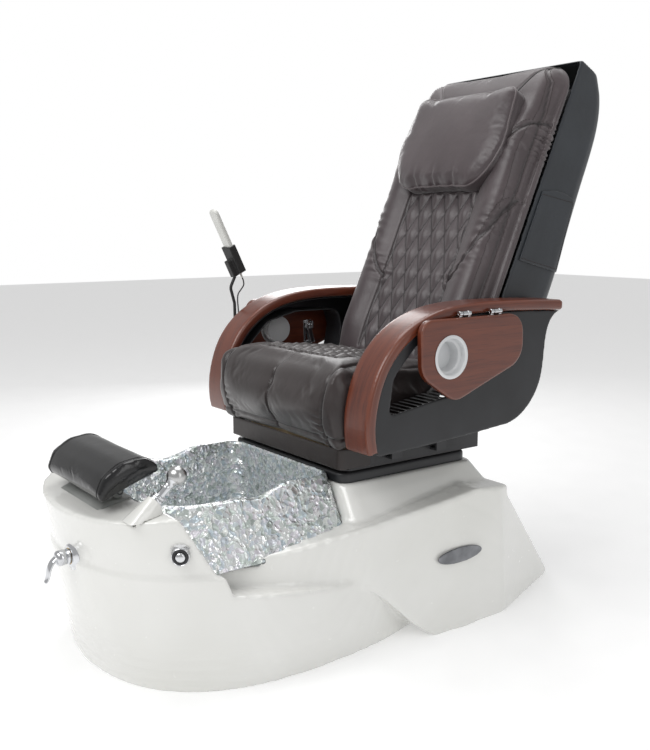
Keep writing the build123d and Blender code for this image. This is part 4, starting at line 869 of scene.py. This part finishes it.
def puffed(node, voxel, pressure, limit, spare, freedom=None):
    """A node's block as a filled cushion. Spare is the share of cover left over for wrinkles, and
    freedom gives each vertex's share of its movement, to hold a cushion where it is fixed down."""
    form = softened(node, voxel, 3)
    mesh = bpy.data.meshes.new(node + "_cover")
    form.to_mesh(mesh)
    form.free()
    before = array_of(mesh.vertices, "co", 3)
    bag = bpy.data.objects.new(node + "_cover", mesh)
    scene.collection.objects.link(bag)
    cloth = bag.modifiers.new("filling", "CLOTH")
    cover = cloth.settings
    cover.quality = 4
    cover.mass = 0.3
    cover.tension_stiffness = cover.compression_stiffness = 14
    cover.shear_stiffness = 6
    cover.bending_stiffness = 0.4
    cover.use_pressure = True
    cover.uniform_pressure_force = pressure
    cover.shrink_min = -spare
    cover.effector_weights.gravity = 0
    cloth.collision_settings.use_collision = False
    cloth.point_cache.frame_end = 20
    for moment in range(1, 21):
        scene.frame_set(moment)
    mesh = taken_mesh(bag, node + "_filled")
    scene.frame_set(1)
    move = array_of(mesh.vertices, "co", 3) - before
    length = np.maximum(np.linalg.norm(move, axis=1), 1e-9)
    share = limit * np.tanh(length / limit) / length * (1 if freedom is None else freedom(before))
    write_places(mesh, before + move * share[:, None])
    print(node, "grew by at most", round(float(length.max()) * 1000, 1), "mm before the cap")
    form = bmesh.new()
    form.from_mesh(mesh)
    form = with_modifier(form, "SUBSURF", levels=1, render_levels=1)
    mesh = bpy.data.meshes.new(node + "_smooth")
    form.to_mesh(mesh)
    form.free()
    return mesh


def push(mesh, height):
    """Move every vertex along its normal by its own height."""
    write_places(mesh, array_of(mesh.vertices, "co", 3) + array_of(mesh.vertex_normals, "vector", 3) * height[:, None])


def distance_to(route, a, b):
    """Distance of flat points (a, b) from a line through the route's points."""
    best = np.full(len(a), 9.0)
    for (a0, b0), (a1, b1) in zip(route, route[1:]):
        step_a, step_b = a1 - a0, b1 - b0
        share = np.clip(((a - a0) * step_a + (b - b0) * step_b) / (step_a ** 2 + step_b ** 2), 0, 1)
        best = np.minimum(best, np.hypot(a - a0 - share * step_a, b - b0 - share * step_b))
    return best


def bell(distance, width):
    """1 on a line, falling to 0 about two widths away."""
    return np.exp(-(distance / width) ** 2)


def fade(value, start, end):
    """0 at start, 1 at end, smooth between."""
    share = np.clip((value - start) / (end - start), 0, 1)
    return share * share * (3 - 2 * share)


def diamonds(across, along, wide=0.054, tall=0.122):
    """Height of diamond quilting: crowned panels between two sets of slanting creases."""
    lean = wide * tall / hypot(wide, tall)
    first, second = across / wide + along / tall, across / wide - along / tall
    near_first = np.abs(first - np.round(first)) * lean
    near_second = np.abs(second - np.round(second)) * lean
    crown = 0.0095 * (1 - bell(near_first, 0.016)) * (1 - bell(near_second, 0.016))
    return crown - 0.0036 * bell(np.minimum(near_first, near_second), 0.0030)


def paint_crease_shade(mesh, depth):
    """Store how deep in a crease each vertex lies, from 0 to 1; the leather's colour is darkened there as painted
    shade.
    """
    attribute = mesh.attributes.new("crease", "FLOAT", "POINT")
    attribute.data.foreach_set("value", np.clip(depth, 0, 1))


def diamond_crease_shade(across, along, wide=0.054, tall=0.122):
    lean = wide * tall / hypot(wide, tall)
    first, second = across / wide + along / tall, across / wide - along / tall
    return bell(np.minimum(np.abs(first - np.round(first)), np.abs(second - np.round(second))) * lean, 0.0026)


# %% [markdown]
# The seat has a big rolled front with one seam down its middle and one near each side. The cover is
# gathered where the side seam goes under the roll. Behind the roll the sitting part is a quilted insert.
# All of that is pressed into the filled cushion, as thread would: down along a seam, up between seams.
# %% The seat
seat = puffed("seat_cushion", 0.0065, 4.0, 0.013, 0.003)
places = array_of(seat.vertices, "co", 3)
places[:, 0] = np.clip(places[:, 0], -0.2735, 0.2735)
write_places(seat, places)
facing = array_of(seat.vertex_normals, "vector", 3)
x, y, z = places.T
roll = fade(-y, 0.06, 0.10)
top = np.clip(facing[:, 2], 0, 1)
side_line = 0.222 + 0.012 * fade(z, 0.50, 0.64)
to_side = np.abs(np.abs(x) - side_line)
height = -0.0042 * bell(np.abs(x), 0.0035) * roll - 0.0055 * bell(to_side, 0.0042)
height += 0.0022 * (1 - bell(np.abs(x), 0.03)) * roll * (1 - bell(to_side, 0.03))
insert = fade(-np.abs(x), -0.176, -0.168) * fade(y, -0.085, -0.075) * top
height += insert * diamonds(x, y, 0.050, 0.090) - 0.005 * bell(distance_to(
    [(-0.172, 0.2), (-0.172, -0.08), (0.172, -0.08), (0.172, 0.2)], np.where(top > 0.3, x, 9), y), 0.005)
gather = bell(np.maximum(0, side_line - np.abs(x)), 0.030) * fade(-z, -0.60, -0.52) * (np.abs(x) < side_line) * roll
height += 0.0034 * gather * np.sin(z * 2 * pi / 0.019 + 55 * (np.abs(x) - side_line))
height -= 0.0035 * bell(np.abs(z - 0.500 - 0.01 * np.abs(x)), 0.0035) * roll
push(seat, height)
# Crease depth for painted shade: the colour is darkened along the quilting, the side seams and the front's seams.
crease = insert * diamond_crease_shade(x, y, 0.050, 0.090) + bell(to_side, 0.0026) + bell(np.abs(x), 0.0022) * roll
paint_crease_shade(seat, crease + bell(np.abs(z - 0.500 - 0.01 * np.abs(x)), 0.0022) * roll)
seat_piece = finish_mesh("seat_pad", seat, seat_leather_painted_shade, "seat", ["seat_cushion"], hard_angle=0)

# %% [markdown]
# The back's seams run over a leaning surface, so it gets its own axes: up along the massage carriage's
# travel, rearwards square to it, and across as before. Seams are then short routes in across and up.
# %% The back's own axes
back_up = Vector(joints["massage_travel"]["axis"]).normalized()
back_rear = Vector((0, back_up.z, -back_up.y))
back_origin = Vector(joints["roller_spin"]["pos_m"]) - 0.058 * back_rear - 0.14 * back_up
back_origin.x = 0


def on_back(across, up, rear):
    return back_origin + Vector((across, 0, 0)) + back_up * up + back_rear * rear


def back_axes(mesh):
    """Each vertex's place across, up and rearwards, and how squarely it faces the sitter."""
    away = array_of(mesh.vertices, "co", 3) - np.array(back_origin)
    front = -array_of(mesh.vertex_normals, "vector", 3) @ np.array(back_rear)
    return away[:, 0], away @ np.array(back_up), away @ np.array(back_rear), front


def mirrored(route):
    return [(-a, b) for a, b in route]


panel_side = [(0.136, 0.02), (0.136, 0.505)]
upper_seam = [(0.258, 0.716), (0.233, 0.698), (0.208, 0.655), (0.190, 0.610), (0.168, 0.555), (0.150, 0.519)]
lower_seam = [(0.250, 0.487), (0.236, 0.447), (0.222, 0.380), (0.206, 0.335), (0.190, 0.300), (0.165, 0.260), (0.136, 0.235)]
strip_seam = [(0.243, 0.02), (0.243, 0.60), (0.246, 0.74), (0.240, 0.83), (0.205, 0.885)]
zip_line = [(0.208, 0.894), (0.143, 0.794)]

# %% [markdown]
# The back is a long cushion. Two bolsters stand forward of a recessed middle, which is quilted in tall
# diamonds. The top corners are rounded, a strip with two rows of thread runs up each side, and the cover
# wrinkles where a curved seam takes up more leather than it needs.
# %% The back
def held_at_shell(places):
    """A back cushion swells in front, and stays put where it meets the shell."""
    return 1 - fade((places - np.array(back_origin)) @ np.array(back_rear), -0.022, 0.004)


back = puffed("back_cushion", 0.0072, 3.2, 0.014, 0.005, held_at_shell)
across, up, rear, front = back_axes(back)
corner = 0.085
rise = np.clip(up - (0.906 - corner), 0, corner)
half_width = 0.267 - corner + np.sqrt(corner ** 2 - rise ** 2)
places = array_of(back.vertices, "co", 3)
places[:, 0] = np.clip(places[:, 0], -0.2700, 0.2700) * half_width / 0.267
turned_back = 0.024 * fade(np.abs(across), 0.215, 0.268) * fade(-rear, -0.012, 0.030)
places += np.array(back_rear) * turned_back[:, None]
write_places(back, places)
across, up, rear, front = back_axes(back)
wide, forward = np.abs(across), np.clip(front, 0, 1)
bolster_line = 0.198 + 0.012 * fade(up, 0.5, 0.7)
bolster = bell(wide - bolster_line, 0.050) * fade(up, -0.05, 0.10) * fade(-up, -0.80, -0.62)
height = forward * 0.026 * bolster
height += forward * 0.010 * fade(up, 0.50, 0.62) * fade(-up, -0.90, -0.80) * bell(wide, 0.20)
quilt = fade(-wide, -0.137, -0.131) * fade(up, 0.0, 0.03) * fade(-up, -0.502, -0.494) * (front > 0.2)
height += quilt * diamonds(across, up - 0.497)
seen = np.where(front > 0.1, wide, 9.0)
for route, depth, width in ((panel_side, 0.0070, 0.0050), (upper_seam, 0.0062, 0.0046), (lower_seam, 0.0066, 0.0046),
                            (strip_seam, 0.0038, 0.0034), (zip_line, 0.0040, 0.0040)):
    height -= depth * bell(distance_to(route, seen, up), width)
near_lower, near_upper = distance_to(lower_seam, seen, up), distance_to(upper_seam, seen, up)
ripple = np.sin(up * 2 * pi / 0.031 + 9 * wide + 1.4 * np.sin(up * 47)) * bell(near_lower, 0.030)
ripple += 0.8 * np.sin(up * 2 * pi / 0.043 + 7 * wide + 1.7 * np.sin(up * 31)) * bell(near_upper, 0.034)
height += 0.0019 * ripple * (1 - bell(np.minimum(near_lower, near_upper), 0.004)) * forward
strip = fade(wide, 0.240, 0.252)
bunched = strip * bell(up - 0.665, 0.055)
height += 0.0034 * bunched * np.sin(up * 2 * pi / 0.0155 + 1.3 * np.sin(up * 160))
tension = np.array([noise.noise(Vector((a * 9, b * 5, 0.3))) for a, b in zip(across, up)])
height += 0.0022 * tension * forward * (1 - quilt)
push(back, height)
# Crease depth for painted shade along the quilting and the seams.
crease = quilt * diamond_crease_shade(across, up - 0.497)
for route, width in ((panel_side, 0.0034), (upper_seam, 0.0028), (lower_seam, 0.0028), (strip_seam, 0.0016)):
    crease += bell(distance_to(route, seen, up), width)
paint_crease_shade(back, crease)
back_piece = finish_mesh("back_pad", back, back_leather_painted_light, "backrest", ["back_cushion"], hard_angle=0)
print("bolsters stand", round(float((0.026 * bolster).max()) * 1000), "mm proud")

# %% [markdown]
# The head pillow is firmer and hangs in front of the back. A cord is sewn into its edge all round. The
# cord's place is found by cutting the filled pillow with a plane near its front and sorting the cut's
# points by angle, so it always lies on the cover. Its lower edge is gathered in short upright folds.
# %% The pillow
pillow = puffed("pillow", 0.0055, 4.5, 0.010, 0.003)
across, up, rear, front = back_axes(pillow)
to_middle = np.clip((up - 0.492) / 0.148, 0, 1)
rounder = (0.214 - 0.074 * (1 - to_middle) ** 2.4) / (0.140 + 0.074 * to_middle)
places = array_of(pillow.vertices, "co", 3)
places[:, 0] *= rounder
write_places(pillow, places)
low_edge = bell(up - 0.500, 0.034) * fade(-np.abs(across), -0.16, -0.10) * np.clip(front, 0, 1)
height = 0.0030 * low_edge * np.sin(across * 2 * pi / 0.036 + 1.2 * np.sin(across * 90))
dome = bell(across, 0.17) * bell(up - 0.64, 0.14) * np.clip(front, 0, 1)
height += 0.012 * dome
push(pillow, height)
pillow_piece = finish_mesh("head_pillow", pillow, back_leather_painted_light, "backrest", ["pillow"], hard_angle=0)


def cut_ring(mesh, point, normal, count):
    """Evenly sorted points where a plane cuts a rounded mesh."""
    form = bmesh.new()
    form.from_mesh(mesh)
    bmesh.ops.bisect_plane(form, geom=form.verts[:] + form.edges[:] + form.faces[:], plane_co=point,
                           plane_no=normal, clear_inner=True, clear_outer=True)
    points = [vert.co.copy() for vert in form.verts]
    form.free()
    middle = sum(points, Vector()) / len(points)
    side = Vector(normal).orthogonal().normalized()
    other = Vector(normal).cross(side).normalized()
    turn_of = lambda p: np.arctan2((p - middle).dot(other), (p - middle).dot(side))
    points.sort(key=turn_of)
    return points[::max(1, len(points) // count)]


def cord_ring(name, points, radius, material, body):
    """A sewn-in cord that follows a closed ring of points."""
    curve = route_curve(name, points, radius)
    line = curve.data.splines[0]
    line.use_endpoint_u = False
    line.use_cyclic_u = True
    curve.data.resolution_u = 3
    return finish_mesh(name, taken_mesh(curve, name), material, body, hard_angle=0)


cord_ring("pillow_piping", cut_ring(pillow, on_back(0, 0.64, -0.099), back_rear, 120), 0.0033, piping_leather, "backrest")

# %% [markdown]
# Thread is what makes a seam read as sewn. Each stitch is a six-sided peg laid along the seam. A ray is
# cast at the cover from in front, so that a stitch lies on the leather however the cover has moved.
# %% Stitches
def stitch_rows(name, cover, rows, body, place, toward, pitch=0.0062, lift=0.0004):
    """Stitches along flat routes; place() turns a flat point into space, toward points at the cover."""
    tree = BVHTree.FromObject(cover, bpy.context.evaluated_depsgraph_get())
    form = bmesh.new()
    for row in rows:
        points = [Vector(point) for point in row]
        run = 0.0
        for a, b in zip(points, points[1:]):
            length = (b - a).length
            while run < length:
                flat = a + (b - a) * (run / length)
                ahead = a + (b - a) * ((run + 0.001) / length)
                hits = [tree.ray_cast(place(*p) - toward * 0.3, toward) for p in (flat, ahead)]
                run += pitch
                if not (hits[0][0] and hits[1][0]):
                    continue
                spot, along = hits[0][0] + hits[0][1] * lift, (hits[1][0] - hits[0][0]).normalized()
                peg = axis_matrix(spot, along, hits[0][1])
                bmesh.ops.create_cone(form, cap_ends=True, segments=6, radius1=0.0008, radius2=0.0008, depth=0.0042,
                                      matrix=peg)
            run -= length
    return finish_piece(name, form, thread, body, hard_angle=0)


def beside(route, shift):
    """A route moved sideways by a shift."""
    moved = []
    for i, (a, b) in enumerate(route):
        a0, b0 = route[max(i - 1, 0)]
        a1, b1 = route[min(i + 1, len(route) - 1)]
        length = hypot(a1 - a0, b1 - b0)
        moved.append((a - (b1 - b0) / length * shift, b + (a1 - a0) / length * shift))
    return moved


rows = []
for seam, shifts in ((upper_seam, (-0.0055, 0.0055)), (lower_seam, (-0.0055, 0.0055)), (strip_seam, (-0.0060, 0.0060)),
                     (panel_side, (-0.0060,))):
    rows += [beside(seam, shift) for shift in shifts]
rows += [mirrored(row) for row in rows]
stitch_rows("back_stitches", back_piece, rows, "backrest", lambda a, b: on_back(a, b, 0), back_rear)
front_rows = [[(shift, 0.51), (shift, 0.64)] for shift in (-0.0055, 0.0055)]
stitch_rows("seat_stitches", seat_piece, front_rows, "seat", lambda a, b: Vector((a, 0, b)),
            Vector((0, 1, 0)))

zip_points = []
tree = BVHTree.FromObject(back_piece, bpy.context.evaluated_depsgraph_get())
for step in range(13):
    share = step / 12
    start = on_back(0.216 - 0.075 * share, 0.897 - 0.110 * share, -0.3)
    hit = tree.ray_cast(start, back_rear)[0]
    if hit:
        zip_points.append(hit - back_rear * 0.0006)
finish_mesh("back_zip", taken_mesh(route_curve("zip", zip_points, 0.0022), "zip"), black_rubber, "backrest",
            hard_angle=0)

# %% [markdown]
# The footrest is a saddle of foam under patent leather, with a corded seam near each end. Its core turns
# on pins, so everything here rides on that body.
# %% The footrest
footrest = puffed("footrest_pad", 0.0042, 4.0, 0.004, 0.0)
foot_piece = finish_mesh("footrest_saddle", footrest, patent_leather, body_of["footrest_pad"],
                         ["footrest_pad"], hard_angle=0)
foot_low, foot_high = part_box("footrest_pad")
for side, at in (("left", foot_high.x - 0.017), ("right", foot_low.x + 0.017)):
    ring = cut_ring(footrest, (at, 0, 0), (1, 0, 0), 90)
    cord_ring(f"footrest_cord_{side}", ring, 0.0014, patent_leather, body_of["footrest_pad"])

# %% [markdown]
# The back's shell is a big moulding under leatherette, with a pocket sewn on the side that faces the
# aisle. The pocket is a grid stretched between four corners and dropped on the shell by rays, then
# thickened, so it follows the shell's curve and still stands off it like a second layer.
# %% The back's shell and pocket
shell_piece = finish_piece("back_cover", softened("back_shell", 0.0046, 4, all_ways[:4]), back_leatherette, "backrest",
                           ["back_shell"], hard_angle=0)
tree = BVHTree.FromObject(shell_piece, bpy.context.evaluated_depsgraph_get())
pocket = bmesh.new()
bmesh.ops.create_grid(pocket, x_segments=22, y_segments=30, size=0.5)
for vert in pocket.verts:
    s, t = vert.co.x + 0.5, vert.co.y + 0.5
    rear_at = 0.037 + s * ((1 - t) * 0.157 + t * 0.132)
    up_at = (1 - t) * (0.342 + 0.030 * s) + t * (0.543 + 0.034 * s + 0.012 * sin(pi * s))
    start = on_back(0.6, up_at, rear_at)
    hit, facing_out, _, _ = tree.ray_cast(start, Vector((-1, 0, 0)))
    vert.co = hit + facing_out * 0.0006 if hit else on_back(0.267, up_at, rear_at)
bmesh.ops.recalc_face_normals(pocket, faces=pocket.faces)
if sum(face.normal.x for face in pocket.faces) < 0:
    bmesh.ops.reverse_faces(pocket, faces=pocket.faces)
pocket = with_modifier(pocket, "SOLIDIFY", thickness=0.0042, offset=1.0)
pocket = with_modifier(pocket, "BEVEL", width=0.0012, segments=2, limit_method="ANGLE")
pocket_piece = finish_piece("back_pocket", pocket, back_leatherette, "backrest", hard_angle=50)
pocket_rows = [[(0.040, 0.349), (0.187, 0.378)], [(0.042, 0.536), (0.163, 0.568)], [(0.188, 0.380), (0.166, 0.570)]]
stitch_rows("pocket_stitches", pocket_piece, pocket_rows, "backrest", lambda a, b: on_back(0.3, b, a),
            Vector((-1, 0, 0)))

# %% [markdown]
# The air button is a chrome dome in a black ring, with a blank crescent label over it. Its joint gives
# the spot and the way it presses, so the ring is turned about the same line.
# %% The air button
press = joints["air_button_press"]
outward = -Vector(press["axis"])
button_low, button_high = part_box("air_button")
button_spot = (button_low + button_high) / 2
button_face = button_spot + outward * 0.006
button = axis_matrix(button_face, outward)
dome_form = turned([(0.0, -0.014), (0.0108, -0.014), (0.0108, 0.0), (0.0098, 0.0022), (0.0070, 0.0040), (0.0035, 0.0049),
                    (0.0, 0.0052)])
bmesh.ops.transform(dome_form, matrix=button, verts=dome_form.verts)
finish_piece("air_button_dome", dome_form, chrome, "air_button", ["air_button"], hard_angle=50)
ring_form = turned([(0.0112, -0.010), (0.0168, -0.010), (0.0168, -0.0012), (0.0150, 0.0004), (0.0124, 0.0002),
                    (0.0112, -0.0010), (0.0112, -0.010)])
bmesh.ops.transform(ring_form, matrix=button, verts=ring_form.verts)
finish_piece("air_button_ring", ring_form, black_moulding, "base", ["button_bezel"], hard_angle=50)
rim_form = turned([(0.0168, -0.010), (0.0196, -0.010), (0.0197, -0.0030), (0.0190, -0.0010), (0.0178, -0.0004),
                   (0.0168, -0.0012), (0.0168, -0.010)])
bmesh.ops.transform(rim_form, matrix=button, verts=rim_form.verts)
finish_piece("air_button_rim", rim_form, chrome, "base", hard_angle=50)
label = bmesh.new()
arc = [radians(turn) for turn in range(-52, 53, 8)]
inner = [label.verts.new((0.0205 * cos(t), 0.0205 * sin(t), -0.0030)) for t in arc]
outer = [label.verts.new((0.0268 * cos(t), 0.0268 * sin(t), -0.0034)) for t in arc]
bmesh.ops.contextual_create(label, geom=inner + outer[::-1])
extruded = bmesh.ops.extrude_face_region(label, geom=label.faces[:])
bmesh.ops.translate(label, vec=(0, 0, -0.006), verts=[v for v in extruded["geom"] if isinstance(v, bmesh.types.BMVert)])
bmesh.ops.recalc_face_normals(label, faces=label.faces)
bmesh.ops.transform(label, matrix=button, verts=label.verts)
finish_piece("air_button_label", label, silver_paint, "base", hard_angle=50)

# %% [markdown]
# The handset is a slim off-white moulding in a black clip. The small chrome parts of the trays, and the
# blank oval badges, are cast or stamped, so softened copies suit them all.
# %% Small mouldings
for node, voxel, rounds, material, slot in (
        ("remote", 0.0013, 3, off_white, "remote_shell"), ("remote_holder", 0.0014, 2, black_rubber, "black_plastic"),
        ("tray_fittings_left", 0.0012, 1, chrome, "chrome"), ("tray_fittings_right", 0.0012, 1, chrome, "chrome"),
        ("side_badges", 0.0016, 2, badge_metal, "badge"), ("gooseneck", 0.0013, 2, black_rubber, "black_rubber")):
    finish_piece(f"{node}_moulding", softened(node, voxel, rounds), material, body_of[node], [node], hard_angle=0)

# %% [markdown]
# Last come the measurements.
# %% Measurements
low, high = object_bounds()
